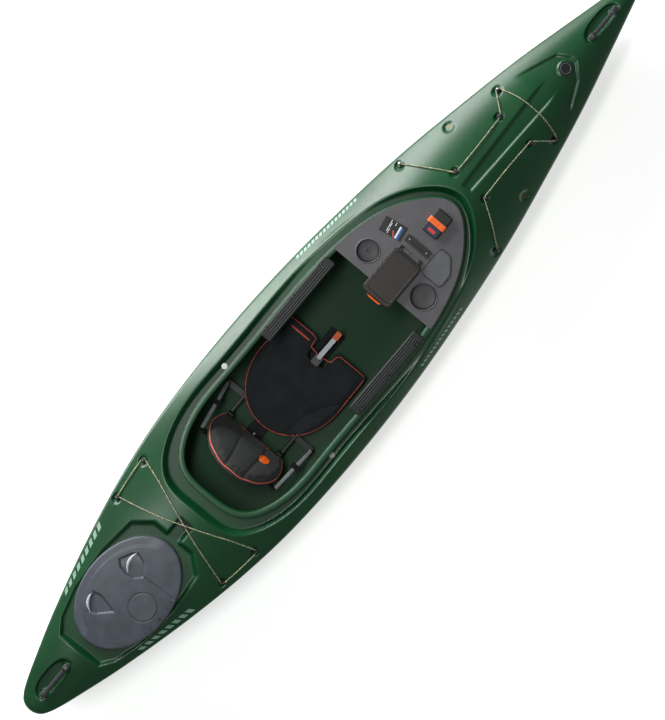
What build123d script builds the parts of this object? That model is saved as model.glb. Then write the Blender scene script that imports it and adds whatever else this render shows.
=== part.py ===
from build123d import *
import math
import os

# A recreational sit-inside kayak. +X is the bow, +Y is port, +Z is up. The origin is amidships, on the
# centreline, level with the lowest line of the keel. Every length is in millimetres.

# ---- overall sizes ----
LENGTH = 3710
BEAM = 710
WALL = 4
SKIN_GAP = 0.4  # between the inside of the hull and what is fitted against it
CLEAR = 0.3  # between pieces that are fitted together
WELD = 1  # how far the solids of one piece run into each other, and cuts run past a face
ABOVE = 60  # reach of a cut or a backing above the deck

# The table of offsets: place along the half length (bow is 1), half beam as a share of the widest,
# width of the flat bottom as a share of the half beam, heights of keel and gunwale, rise of the deck.
OFFSETS = [
    (-1.00, 0.10, 0.30, 116, 270, 8),
    (-0.97, 0.20, 0.30, 88, 268, 14),
    (-0.90, 0.335, 0.30, 48, 262, 28),
    (-0.80, 0.502, 0.32, 28, 254, 38),
    (-0.65, 0.708, 0.34, 12, 244, 50),
    (-0.50, 0.868, 0.36, 4.4, 236, 58),
    (-0.35, 0.965, 0.38, 1.0, 231, 85),
    (-0.15, 1.00, 0.40, 0, 226, 135),
    (0.05, 0.967, 0.40, 0, 225, 155),
    (0.25, 0.868, 0.38, 0.4, 230, 155),
    (0.40, 0.762, 0.36, 2.3, 237, 118),
    (0.55, 0.615, 0.34, 8, 248, 86),
    (0.70, 0.451, 0.32, 21, 262, 62),
    (0.85, 0.25, 0.30, 48, 279, 38),
    (0.95, 0.11, 0.30, 112, 293, 18),
    (1.00, 0.035, 0.30, 236, 300, 8),
]
HALF = LENGTH / 2
HALF_BEAM = BEAM / 2
BILGE_RISE = 0.25  # where the bilge turns up, as a share of the side's height

# ---- cockpit ----
RIM_SLOPE = 0.0826  # the rim rises towards the bow, from RIM_LINE_X forward
RIM_LINE_X = -200
RIM_LINE_Z = 268
RIM_WIDTH = 24
RIM_THICK = 6
COAMING_WALL = 5
MOAT_DEPTH = 36
# Half outlines in plan, from the stern end of the centreline to its bow end
RIM_HALF = [(-787, 0), (-760, 152), (-640, 236), (-350, 262), (0, 264), (300, 247), (500, 196),
            (640, 108), (705, 0)]
MOAT_HALF = [(-841, 0), (-822, 165), (-680, 266), (-350, 294), (0, 296), (320, 278), (530, 219),
             (675, 120), (734, 0)]

# ---- stern hatch ----
HATCH_X = -1259
HATCH_LENGTH = 493
HATCH_WIDTH = 354
HATCH_FLOOR_Z = 258
COLLAR_HEIGHT = 20
COLLAR_WALL = 6
COVER_WALL = 4
COVER_RISE = 36  # top of the cover above the recess floor
COVER_ROUND = 8
BADGE_SHIFT_X = -6
BADGE_SHIFT_Y = -80
COVER_GAP = 2  # between the collar and the cover's skirt
GASKET_THICK = 3
GASKET_INSET = 0.5
COVER_LAND = 6  # width of the cover's underside that lies on the gasket
SQUEEZE = 0.05  # left over a gasket
BADGE_BACKING = 5
RECESS_HALF = [(-1552, 0), (-1552, 96), (-1500, 136), (-1380, 172), (-1199, 184), (-1040, 168),
               (-981, 96), (-981, 0)]
BADGE_RADIUS = 52
BOW_BADGE_X = 1376
BOW_BADGE_RADIUS = 27
BADGE_THICK = 2
BADGE_SINK = 2
CHANNEL_REAR = 767
CHANNEL_FRONT = 1319
CHANNEL_REAR_WIDTH = 50
CHANNEL_FRONT_WIDTH = 85
CHANNEL_DEPTH = 8
CHANNEL_CORNER = 18

# ---- carry handles ----
HANDLE_LENGTH = 163
HANDLE_WIDTH = 30
HANDLE_THICK = 12
HANDLE_X_STERN = -1700
HANDLE_X_BOW = 1602
POCKET_DEPTH = 16
POCKET_MARGIN = 8
POCKET_WIDTH = 78
BOW_POCKET_WIDTH = 58
PILLAR_RADIUS = 12
SCREW_INSET = 14  # from the end of a handle to its screw
SCREW_RADIUS = 2.5
SCREW_HEAD_RADIUS = 5
SCREW_HEAD = 3
FIT = 0.05  # round a fixed screw or pin
RUN = 0.08  # round a pin that turns

# ---- deck hooks and bungees ----
HOOK_BASE_RADIUS = 11
HOOK_BASE = 3
HOOK_POST_RADIUS = 3.5
HOOK_POST_TOP = 7
HOOK_CAP_RADIUS = 8
HOOK_CAP = 2.5
DIMPLE_RADIUS = 14
DIMPLE_DEPTH = 6
CORD_RADIUS = 2.5
CORD_LIFT = 3.6  # centre of a cord above the deck at a hook
WRAP = HOOK_POST_RADIUS + CORD_RADIUS + CLEAR
# Corners of the two cords in plan with the lift over the deck; True where the cord goes round a hook
BOW_ROUTE = [
    (690, 249, 0, True), (741, 160, 6.5, False), (794, 70, 0, True), (934, 69, 4, False),
    (1074, 74, 0, True), (1113, 117, 3, False), (1152, 160, 0, True), (1176, 62, 9, False),
    (1176, -62, 9, False), (1152, -160, 0, True), (1113, -117, 3, False), (1074, -74, 0, True),
    (934, -69, 4, False), (790, -74, 0, True), (735, -162, 6.5, False), (678, -249, 0, True),
]
STERN_ROUTE = [
    (-1000, 268, 0, True), (-908, 280, 3, False), (-818, 288, 0, True), (-850, 180, 6, False),
    (-886, 90, 6, False), (-950, -82, 6, False), (-980, -180, 6, False), (-1008, -264, 0, True),
    (-912, -278, 3, False), (-818, -288, 0, True), (-848, -184, 6, False), (-886, -86, 12, False),
    (-950, 84, 12, False), (-976, 176, 6, False),
]
INSERTS = [(919, 205), (907, -205)]
INSERT_RADIUS = 7
INSERT_BORE = 3
INSERT_DEPTH = 16
INSERT_FLOOR = 2

# ---- console: places are in the plane of the rim, x along it from amidships ----
CONSOLE_REAR = 274
CONSOLE_THICK = 4
CONSOLE_INSET = 5
CUPS = [(350, 136, 45), (352, -142, 52)]
CUP_DEPTH = 55
CUP_WALL = 3
BOX_REAR = 236
BOX_FRONT = 424
BOX_WIDTH = 118
BOX_DEPTH = 85
BOX_WALL = 3
BOX_FLANGE = 7
BOX_FLANGE_THICK = 4
LID_THICK = 13
LID_MARGIN = 9
LID_SKIN = 3
BOX_GASKET = 2
BOX_CORNER = 14
BOX_INNER_CORNER = 11
FLANGE_CORNER = 18
LID_CORNER = 20
LID_ROUND = 3
HINGE_GAP = 13  # from the lid's front edge to its hinge pin
HINGE_HEIGHT = 15
PIN_RADIUS = 2
KNUCKLE_RADIUS = 5
LATCH_WIDTH = 58
LATCH_DROP = 20
LATCH_THICK = 5
LATCH_OUT = 6
LATCH_DOWN = 6
EAR_Y = 50
EAR_THICK = 6
ARM_GAP = 0.4
ARM_THICK = 8
LIP_DEPTH = 10
TRAY_OUTLINE = [(420, -76), (536, -76), (536, -122), (482, -164), (420, -168)]
TRAY_DEPTH = 22
TRAY_STEP = 8
TRAY_LID_THICK = 4
TRAY_CORNER = 16
TRACK_X = 487
TRACK_WIDTH = 31
TRACK_LENGTH = 116
TRACK_HEIGHT = 8
TRACK_SLOT = 8
TRACK_SCREW_Y = 42
TRACK_SCREW_LENGTH = 12
CARD_X = 478
CARD_Y = 116
CARD_LENGTH = 96
CARD_WIDTH = 62
CARD_THICK = 1.2
CARD_TURN = 10
BLOCK_X = 600
BLOCK_LENGTH = 104
BLOCK_WIDTH = 72
BLOCK_HEIGHT = 22
BLOCK_CORNER = 10
BLOCK_ROUND = 5
STRAP_WIDTH = 24
STRAP_THICK = 2

# ---- seat ----
RAIL_WIDTH = 70
RAIL_HEIGHT = 14
RAIL_REAR = -500
RAIL_FRONT = 40
SEAT_REAR = -445
SEAT_FRONT = -25
SEAT_WIDTH = 416
SEAT_BASE_THICK = 10
SEAT_LIFT = 6  # underside of the seat pan above the top of the rail
CUSHION_THICK = 34
NOTCH_DEPTH = 88
NOTCH_WIDTH = 92
FLOOR_RISE = 0.6  # of the hull's floor under the ends of the rail
RAIL_SLOT = 26
SHOE_X = -235
SHOE_LENGTH = 150
EAR_X = -405
EAR_SPAN = 214
EAR_WIDE = 6
BRIDGE_IN = 90
RAIL_FLOOR = 4
LUG_FOOT = -385  # forward end of the recline arms
EAR_TALL = 46
CHEEK_IN = 10.6
CHEEK_OUT = 17
BLOCK_SIZE = 46
BLOCK_LOW = 8.2  # underside of the block above the lever's pin
BLOCK_HIGH = 20
BLOCK_SLOT = 24  # the lever rises in it
LEVER_TILT = 12
BACK_WIDTH = 350
BACK_HEIGHT = 268
BACK_LEAN = 35  # degrees back from upright
BACK_FRAME_THICK = 8
BACK_PAD_THICK = 30
RECLINE_X = -486
RECLINE_Z = 64
LUG_Y = 130
LUG_THICK = 10
LUG_RADIUS = 14
RECLINE_PIN_RADIUS = 4
STRAP_UP = 150
STRAP_SPAN = 186
STRAP_OFF = 1.6  # the middle of a strap in front of its tab
STRAP_OVER_EAR = 1.4
TAB_LENGTH = 50
TAB_INSET = 26
BUCKLE_LENGTH = 24
BUCKLE_MARGIN = 12
BUCKLE_THICK = 7
BUCKLE_SHARE = 0.55  # place of a buckle along its strap
BACK_FOOT = 34
BACK_SET = -6
BACK_BADGE_X = 84
BACK_BADGE_UP = 96
BELT_WIDTH = 25
BELT_THICK = 2
LEVER_X = -98
LEVER_Z = 66
LEVER_LENGTH = 143
LEVER_WIDTH = 20
LEVER_THICK = 8
GRIP_LENGTH = 36

# ---- thigh braces, foot braces, bulkhead, foam ----
BRACE_REAR = -164
BRACE_FRONT = 232
BRACE_OUT = 250
BRACE_IN = 198
BRACE_THICK = 12
BRACE_BOLTS = [-134, 29, 196]
BRACE_BOLT_Y = 242
BRACE_CORNER = 14
BRACE_SINK_RADIUS = 7
BRACE_SINK = 4
BOLT_RADIUS = 6
COAMING_BOLT_X = -348
COAMING_BOLT_Y = 272
COAMING_BOLT_RADIUS = 12
COAMING_BOLT_HEAD = 4
FOOT_REAR = 420
FOOT_FRONT = 800
FOOT_Z = 112
FOOT_RAIL_HEIGHT = 30
FOOT_RAIL_THICK = 10
PEDAL_HEIGHT = 112
PEDAL_WIDTH = 78
PEDAL_THICK = 12
PEDAL_GRIP = 50
PEDAL_SHARE = 0.6
FOOT_STANDOFF = 34
FOOT_POST_RADIUS = 12
FOOT_POST_INSET = 22
PEDAL_SHOE = 6  # wall of the pedal's shoe round the rail
BULKHEAD_X = -905
BULKHEAD_THICK = 50
PILLAR_REAR = 960
PILLAR_FRONT = 1310
PILLAR_WIDTH = 64


def save(name, *solids):
    export_step(Compound(children=list(solids)) if len(solids) > 1 else solids[0], f"parts/{name}.step")


def offsets_at(share):
    """The table of offsets at one place along the half length, on a smooth curve through its rows."""
    rows = OFFSETS
    i = max(1, next((k for k, row in enumerate(rows) if row[0] >= share), len(rows) - 1))
    a, b = rows[i - 1], rows[i]
    before, after = rows[max(i - 2, 0)], rows[min(i + 1, len(rows) - 1)]
    t = (share - a[0]) / (b[0] - a[0])
    span = b[0] - a[0]
    values = []
    for k in range(1, len(a)):
        start = (b[k] - before[k]) / (b[0] - before[0]) * span
        end = (after[k] - a[k]) / (after[0] - a[0]) * span
        values.append(
            (2 * t**3 - 3 * t**2 + 1) * a[k] + (t**3 - 2 * t**2 + t) * start
            + (3 * t**2 - 2 * t**3) * b[k] + (t**3 - t**2) * end
        )
    return values


def half_beam(x):
    return offsets_at(x / HALF)[0] * HALF_BEAM


def deck_height(x, y):
    """Height of the deck's own smooth surface, before anything is sunk into it."""
    beam, _, _, gunwale, rise = offsets_at(x / HALF)
    return gunwale + rise * (1 - (y / (beam * HALF_BEAM)) ** 2)


def section(x, inset):
    """One closed cross-section of the hull: flat bottom, round bilges, crowned deck."""
    beam, flat, keel, gunwale, rise = offsets_at(x / HALF)
    b = beam * HALF_BEAM - inset
    f = flat * b
    k = keel + inset
    g = gunwale - 0.6 * inset
    r = rise - 0.4 * inset
    turn = k + BILGE_RISE * (g - k)
    edges = [
        Line((x, -f, k), (x, f, k)),
        Bezier((x, f, k), (x, 0.95 * b, k), (x, b, turn), (x, b, g)),
        Bezier((x, b, g), (x, 0, g + 2 * r), (x, -b, g)),
        Bezier((x, -b, g), (x, -b, turn), (x, -0.95 * b, k), (x, -f, k)),
    ]
    return Face(Wire(edges))


def hull_body(inset, ends=0):
    """The hull as a solid, inset from its outer surface; the inside stops where the ends are solid."""
    places = [row[0] * HALF for row in OFFSETS[ends : len(OFFSETS) - ends]]
    return loft([section(x, inset) for x in places])


def smooth(points, start, end):
    """A spline through points, leaving the first and reaching the last along set directions."""
    return Spline(*points, tangents=[start, end], tangent_scalars=(1, 1))


def plan_face(half_points, grow=0):
    """A face in plan from half an outline, mirrored about the centreline and grown by a distance."""
    pts = [Vector(*p) for p in half_points]
    grown = []
    for i, p in enumerate(pts):
        if i == 0:
            grown.append(p + Vector(-grow, 0))
        elif i == len(pts) - 1:
            grown.append(p + Vector(grow, 0))
        else:
            along = (pts[i + 1] - pts[i - 1]).normalized()
            grown.append(p + Vector(-along.Y, along.X) * grow)
    port = smooth(grown, (0, 1), (0, -1))
    starboard = mirror(port, Plane.XZ).edge()
    face = Face(Wire([port.edge(), starboard]))
    return face if face.normal_at().Z > 0 else -face


def corner_face(half_points, grow=0, radius=24):
    """The same for an outline of straight sides with rounded corners."""
    port = [Vector(*p) for p in half_points]
    whole = port[1:-1] + [Vector(p.X, -p.Y) for p in reversed(port[1:-1])]
    face = Face(Polyline(*whole, close=True).wire())
    face = fillet(face.vertices(), radius)
    return offset(face, grow) if grow else face


def prism(face, low=0, high=700):
    return extrude(Pos(0, 0, low) * face, high - low, dir=(0, 0, 1))


def tube_wall(outer_face, inner_face, low=0, high=700):
    return prism(outer_face, low, high) - prism(inner_face, low - 1, high + 1)


def rim_profile(drop):
    """Side view of the coaming rim, moved down: a curve behind the seat, then a straight rise."""
    z = RIM_LINE_Z - drop
    far = 900
    rear = smooth([(-far, 0, z + 16), (-560, 0, z - 5), (RIM_LINE_X, 0, z)],
                  (1, 0, -0.12), (1, 0, RIM_SLOPE))
    return rear, Line((RIM_LINE_X, 0, z), (far, 0, z + RIM_SLOPE * (far - RIM_LINE_X)))


def band(low_drop, high_drop=None):
    """Everything between two heights under the rim; with one height, everything above it."""
    low_rear, low_front = rim_profile(low_drop)
    if high_drop is None:
        high = Polyline(low_rear @ 0, (-900, 0, 700), (900, 0, 700), low_front @ 1)
        edges = [low_rear.edge(), low_front.edge(), *high.edges()]
    else:
        high_rear, high_front = rim_profile(high_drop)
        ends = [Line(low_rear @ 0, high_rear @ 0), Line(low_front @ 1, high_front @ 1)]
        edges = [e.edge() for e in (low_rear, low_front, high_rear, high_front, *ends)]
    face = Face(Wire(edges))
    return extrude(face, 450, dir=(0, 1, 0), both=True)


def rim_plane():
    """The plane of the straight part of the rim, with x measured from amidships."""
    angle = math.atan(RIM_SLOPE)
    z = RIM_LINE_Z - RIM_SLOPE * RIM_LINE_X
    return Plane((0, 0, z), x_dir=(math.cos(angle), 0, math.sin(angle)),
                 z_dir=(-math.sin(angle), 0, math.cos(angle)))


def deck_plane(x, y):
    """The plane touching the deck at one place, its x along the hull."""
    step = 4
    z = deck_height(x, y)
    along = Vector(2 * step, 0, deck_height(x + step, y) - deck_height(x - step, y))
    across = Vector(0, 2 * step, deck_height(x, y + step) - deck_height(x, y - step))
    return Plane((x, y, z), x_dir=along.normalized(), z_dir=along.cross(across).normalized())


def handle_plane(x):
    return deck_plane(x, 0)


def cylinder_at(plane, radius, low, high):
    middle = (Align.CENTER, Align.CENTER, Align.MIN)
    return plane * Pos(0, 0, low) * Cylinder(radius, high - low, align=middle)


def box_at(plane, x0, x1, y0, y1, z0, z1):
    middle = Pos((x0 + x1) / 2, (y0 + y1) / 2, (z0 + z1) / 2)
    return plane * middle * Box(x1 - x0, y1 - y0, z1 - z0)


# ---- cords ----

def route_points(route):
    points = []
    for x, y, lift, _ in route:
        plane = deck_plane(x, y)
        points.append(plane.origin + plane.z_dir * (CORD_LIFT + lift))
    return points


def route_radii(points, hooks):
    """As large an arc as the runs allow at each corner, or the wrap round the hook there."""
    radii = []
    for i in range(1, len(points) - 1):
        before = points[i] - points[i - 1]
        after = points[i + 1] - points[i]
        half_turn = math.radians(before.get_angle(after)) / 2
        widest = 0.45 * min(before.length, after.length) / math.tan(half_turn)
        radii.append(min(WRAP, widest) if hooks[i] else widest)
    return radii


def hook_place(points, i):
    """A hook stands inside the bend that the cord makes round it; at a cord's end, just past it."""
    here = points[i]
    if i == 0 or i == len(points) - 1:
        near = points[1] if i == 0 else points[-2]
        past = (here - near).normalized() * (HOOK_POST_RADIUS + CLEAR)
        return here + past
    back = (points[i - 1] - here).normalized()
    on = (points[i + 1] - here).normalized()
    half = math.radians(back.get_angle(on)) / 2
    return here + (back + on).normalized() * (WRAP / math.sin(half))


def cord_path(points, hooks):
    return FilletPolyline(*points, radius=route_radii(points, hooks))


def cord(name, points, hooks):
    radii = route_radii(points, hooks)
    path = cord_path(points, hooks)
    start = Plane(path @ 0, z_dir=path % 0)
    tube = sweep(start * Circle(CORD_RADIUS), path=path)
    expected = math.pi * CORD_RADIUS**2 * path.length
    print(f"{name}: {path.length:.0f} mm, volume {tube.volume / expected:.4f} of its section times length,"
          f" arcs {[round(r) for r in radii]}")
    save(name, tube)
    return [hook_plane(hook_place(points, i)) for i, hooked in enumerate(hooks) if hooked]


def hook_plane(place):
    """The deck's plane under a hook, so that the hook's post passes through a place above the deck."""
    lean = deck_plane(place.X, place.Y).z_dir * CORD_LIFT
    return deck_plane(place.X - lean.X, place.Y - lean.Y)


def deck_hook(plane):
    low = -DIMPLE_DEPTH
    base = cylinder_at(plane, HOOK_BASE_RADIUS, low, low + HOOK_BASE)
    post = cylinder_at(plane, HOOK_POST_RADIUS, low, HOOK_POST_TOP)
    cap = cylinder_at(plane, HOOK_CAP_RADIUS, HOOK_POST_TOP, HOOK_POST_TOP + HOOK_CAP)
    bore = cylinder_at(plane, SCREW_RADIUS / 2 + FIT, low - 1, HOOK_POST_TOP + HOOK_CAP + 1)
    return base + post + cap - bore


def hook_screw(plane):
    top = HOOK_POST_TOP + HOOK_CAP
    head = cylinder_at(plane, SCREW_RADIUS, top, top + 1.5)
    return head + cylinder_at(plane, SCREW_RADIUS / 2, -DIMPLE_DEPTH - WALL + 1, top)


# ---- the hull ----

def dimple_boss(plane):
    return cylinder_at(plane, DIMPLE_RADIUS + WALL, -DIMPLE_DEPTH - WALL, DIMPLE_DEPTH * 2)


def dimple_cut(plane):
    hole = cylinder_at(plane, SCREW_RADIUS / 2 + FIT, -DIMPLE_DEPTH - WALL + 0.8, 0)
    return [cylinder_at(plane, DIMPLE_RADIUS, -DIMPLE_DEPTH, DIMPLE_DEPTH * 4), hole]


def handle_feet(x):
    """The planes of a handle's two screws."""
    reach = HANDLE_LENGTH / 2 - SCREW_INSET
    return [Plane(handle_plane(x).location * Location((side * reach, 0, 0))) for side in (-1, 1)]


def pocket_boss(x, width):
    long = HANDLE_LENGTH / 2 + POCKET_MARGIN + WALL
    wide = width / 2 + WALL
    return box_at(handle_plane(x), -long, long, -wide, wide, -POCKET_DEPTH - WALL, ABOVE)


def pocket_cut(x, width):
    """The pocket with its two pillars left standing, and the screw holes down through them."""
    long = HANDLE_LENGTH / 2 + POCKET_MARGIN
    pocket = box_at(handle_plane(x), -long, long, -width / 2, width / 2, -POCKET_DEPTH, ABOVE)
    feet = handle_feet(x)
    pocket = pocket - [cylinder_at(foot, PILLAR_RADIUS, -POCKET_DEPTH - 1, 0) for foot in feet]
    return [pocket] + [cylinder_at(foot, SCREW_RADIUS + FIT, -POCKET_DEPTH - 1, 1) for foot in feet]


def oval(grow=0):
    return Pos(HATCH_X, 0) * Ellipse(HATCH_LENGTH / 2 + grow, HATCH_WIDTH / 2 + grow)


def channel_face(grow=0):
    rear, front = CHANNEL_REAR - grow, CHANNEL_FRONT + grow
    near, far = CHANNEL_REAR_WIDTH / 2 + grow, CHANNEL_FRONT_WIDTH / 2 + grow
    corners = Polyline((rear, near), (front, far), (front, -far), (rear, -near), close=True)
    face = make_face(corners)
    return fillet(face.vertices(), CHANNEL_CORNER)


def above_deck(depth):
    """Everything above a line that follows the centre of the bow deck at a depth."""
    middle = (CHANNEL_REAR + CHANNEL_FRONT) / 2
    places = (CHANNEL_REAR - 20, middle, CHANNEL_FRONT + 20)
    line = Spline(*[(x, 0, deck_height(x, 0) - depth) for x in places])
    roof = Polyline(line @ 0, (places[0], 0, 600), (places[2], 0, 600), line @ 1)
    return extrude(Face(Wire([line.edge(), *roof.edges()])), 100, dir=(0, 1, 0), both=True)


def hull(hook_planes, insert_planes):
    outer = hull_body(0)
    inside = hull_body(WALL, 1)
    opening = plan_face(RIM_HALF, -RIM_WIDTH)
    moat = plan_face(MOAT_HALF)
    recess = corner_face(RECESS_HALF)
    pockets = ((HANDLE_X_STERN, POCKET_WIDTH), (HANDLE_X_BOW, BOW_POCKET_WIDTH))
    badge = deck_plane(BOW_BADGE_X, 0)
    badge_floor = -BADGE_THICK - BADGE_SINK

    # What is left standing inside the skin under everything that is sunk into the deck
    backing = [
        prism(plan_face(MOAT_HALF, WALL)) & band(MOAT_DEPTH + WALL),
        prism(corner_face(RECESS_HALF, WALL), HATCH_FLOOR_Z - WALL),
        prism(channel_face(WALL)) & above_deck(CHANNEL_DEPTH + WALL),
        cylinder_at(badge, BOW_BADGE_RADIUS + WALL, badge_floor - WALL, 8),
    ]
    backing += [pocket_boss(*pocket) for pocket in pockets]
    backing += [dimple_boss(plane) for plane in hook_planes]
    backing += [cylinder_at(p, INSERT_RADIUS + WALL, -INSERT_DEPTH - WALL, 10) for p in insert_planes]

    collar = oval(-COVER_GAP - COVER_WALL)
    sunk = [
        inside - backing,
        prism(moat) & band(MOAT_DEPTH),
        prism(opening, 150),
        prism(recess, HATCH_FLOOR_Z),
        prism(oval(-COVER_GAP - COVER_WALL - COLLAR_WALL), HATCH_FLOOR_Z - WALL - 1),
        prism(channel_face()) & above_deck(CHANNEL_DEPTH),
        cylinder_at(badge, BOW_BADGE_RADIUS + CLEAR, badge_floor, 8),
    ]
    for pocket in pockets:
        sunk += pocket_cut(*pocket)
    for plane in hook_planes:
        sunk += dimple_cut(plane)
    sunk += [cylinder_at(p, INSERT_RADIUS + FIT, -INSERT_DEPTH, 10) for p in insert_planes]
    body = outer - sunk

    coaming = prism(plan_face(RIM_HALF, COAMING_WALL - RIM_WIDTH), 150) & band(MOAT_DEPTH + 1, 0)
    flange = prism(plan_face(RIM_HALF), 150) & band(RIM_THICK, 0)
    rim = coaming + flange - prism(opening, 100)
    collar_ring = tube_wall(collar, oval(-COVER_GAP - COVER_WALL - COLLAR_WALL),
                            HATCH_FLOOR_Z - 1, HATCH_FLOOR_Z + COLLAR_HEIGHT)
    body = body + [rim, collar_ring]

    holes = []
    for side in (1, -1):
        holes.append(cylinder_at(coaming_bolt_plane(side), SCREW_RADIUS + FIT, -WALL - 2, 1))
        for plane in brace_bolt_planes(side):
            holes.append(cylinder_at(plane, SCREW_RADIUS + FIT, -RIM_THICK - 1, 1))
    return body - holes


def brace_bolt_planes(side):
    return [Plane(rim_plane().location * Location((x, side * BRACE_BOLT_Y, 0))) for x in BRACE_BOLTS]


def coaming_bolt_plane(side):
    """The flat seat of a coaming bolt on the floor of the moat."""
    profile = rim_profile(MOAT_DEPTH)[0]
    t = (COAMING_BOLT_X + 900) / (RIM_LINE_X + 900)
    z = (profile @ t).Z
    return Plane((COAMING_BOLT_X, side * COAMING_BOLT_Y, z + 0.5))


def screw(plane, head_radius, head, radius, length):
    """A screw standing on a plane, its shank going down."""
    return cylinder_at(plane, head_radius, 0, head) + cylinder_at(plane, radius, -length, 0.5)


# ---- handles, badges, inserts ----

def handles_and_badges():
    screws = []
    for name, x in (("stern_handle", HANDLE_X_STERN), ("bow_handle", HANDLE_X_BOW)):
        plane = handle_plane(x)
        bar = SlotOverall(HANDLE_LENGTH, HANDLE_WIDTH)
        bar = extrude(bar, HANDLE_THICK)
        bar = fillet(bar.edges().group_by(Axis.Z)[-1], HANDLE_THICK / 3)
        feet = handle_feet(x)
        bar = plane * bar - [cylinder_at(foot, SCREW_RADIUS + FIT, -1, HANDLE_THICK + 1) for foot in feet]
        save(name, bar)
        for foot in feet:
            top = Plane(foot.location * Location((0, 0, HANDLE_THICK)))
            shank = HANDLE_THICK + POCKET_DEPTH
            screws.append(screw(top, SCREW_HEAD_RADIUS, SCREW_HEAD, SCREW_RADIUS, shank))
    save("handle_screws", *screws)
    badge = deck_plane(BOW_BADGE_X, 0)
    save("bow_badge", cylinder_at(badge, BOW_BADGE_RADIUS, -BADGE_THICK - BADGE_SINK, -BADGE_SINK))
    inserts = []
    for place in INSERTS:
        plane = deck_plane(*place)
        insert = cylinder_at(plane, INSERT_RADIUS, -INSERT_DEPTH, -DIMPLE_DEPTH)
        inserts.append(insert - cylinder_at(plane, INSERT_BORE, -INSERT_DEPTH + INSERT_FLOOR, 0))
    save("accessory_inserts", *inserts)


# ---- stern hatch ----

def hatch():
    """The cover's skirt stands outside the collar; a gasket lies between the collar and the cover."""
    seat = HATCH_FLOOR_Z + COLLAR_HEIGHT
    top = HATCH_FLOOR_Z + COVER_RISE
    cover = prism(oval(), HATCH_FLOOR_Z + 1, top)
    cover = fillet(cover.edges().group_by(Axis.Z)[-1], COVER_ROUND)
    cover = cover - prism(oval(-COVER_WALL), HATCH_FLOOR_Z, seat + GASKET_THICK)
    inner = -COVER_GAP - COVER_WALL - COLLAR_WALL
    cover = cover - prism(oval(inner - COVER_LAND), HATCH_FLOOR_Z, top - COVER_WALL)
    disc = Pos(HATCH_X + BADGE_SHIFT_X, BADGE_SHIFT_Y)
    cover = cover - prism(disc * Circle(BADGE_RADIUS + CLEAR), top - BADGE_THICK, top + 1)
    backing = disc * Circle(BADGE_RADIUS + BADGE_BACKING)
    cover = cover + prism(backing, top - BADGE_THICK - COVER_WALL, top - BADGE_THICK)
    save("hatch_cover", cover)
    save("hatch_badge", prism(disc * Circle(BADGE_RADIUS), top - BADGE_THICK, top - 0.5))
    save("hatch_gasket", tube_wall(oval(-COVER_GAP - COVER_WALL - GASKET_INSET), oval(inner), seat,
                                   seat + GASKET_THICK - SQUEEZE))


# ---- console, dry box, tray and what is on the console ----

def flat(points, radius=12):
    face = make_face(Polyline(*points, close=True))
    return fillet(face.vertices(), radius) if radius else face


def on_rim(face, low, high):
    """A prism standing in the plane of the rim."""
    return rim_plane() * extrude(Pos(0, 0, low) * face, high - low, dir=(0, 0, 1))


def bay_face(grow=0):
    """The bay that the dry box hangs in, open to the rear of the console."""
    middle = (CONSOLE_REAR - 40 + BOX_FRONT) / 2
    return Pos(middle, 0) * Rectangle(BOX_FRONT - CONSOLE_REAR + 40 + 2 * grow, BOX_WIDTH + 2 * grow)


def tray_corners(grow=0):
    return offset(flat(TRAY_OUTLINE, TRAY_CORNER), grow) if grow else flat(TRAY_OUTLINE, TRAY_CORNER)


def console():
    front = box_at(rim_plane(), CONSOLE_REAR, 900, -BEAM, BEAM, -50, 50)
    plate = on_rim(plan_face(RIM_HALF, -CONSOLE_INSET), 0, CONSOLE_THICK) & front
    inside = on_rim(plan_face(RIM_HALF, -RIM_WIDTH - CLEAR), -LIP_DEPTH, 1) & front
    lip = on_rim(plan_face(RIM_HALF, -RIM_WIDTH - CLEAR - CONSOLE_THICK), -LIP_DEPTH - 1, 0)
    plate = plate + (inside - lip)
    plate = plate - on_rim(bay_face(CLEAR), -LIP_DEPTH - 1, CONSOLE_THICK + 1)
    holes = []
    for x, y, radius in CUPS:
        ring = Pos(x, y) * Circle(radius + CUP_WALL)
        plate = plate + on_rim(ring, CONSOLE_THICK - CUP_DEPTH - CUP_WALL, 1)
        holes.append(on_rim(Pos(x, y) * Circle(radius), CONSOLE_THICK - CUP_DEPTH, CONSOLE_THICK + 1))
    plate = plate - holes
    tray = on_rim(tray_corners(-TRAY_STEP + 2.5), -TRAY_DEPTH, 1)
    plate = plate + tray - on_rim(tray_corners(-TRAY_STEP), CONSOLE_THICK - TRAY_DEPTH, CONSOLE_THICK + 1)
    bores = [Pos(TRACK_X, side * TRACK_SCREW_Y) * Circle(SCREW_RADIUS + FIT) for side in (1, -1)]
    plate = plate - [on_rim(bore, -1, CONSOLE_THICK + 1) for bore in bores]
    save("console", plate)


def lid_axis_height():
    return CONSOLE_THICK + BOX_FLANGE_THICK + HINGE_HEIGHT - 4


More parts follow.
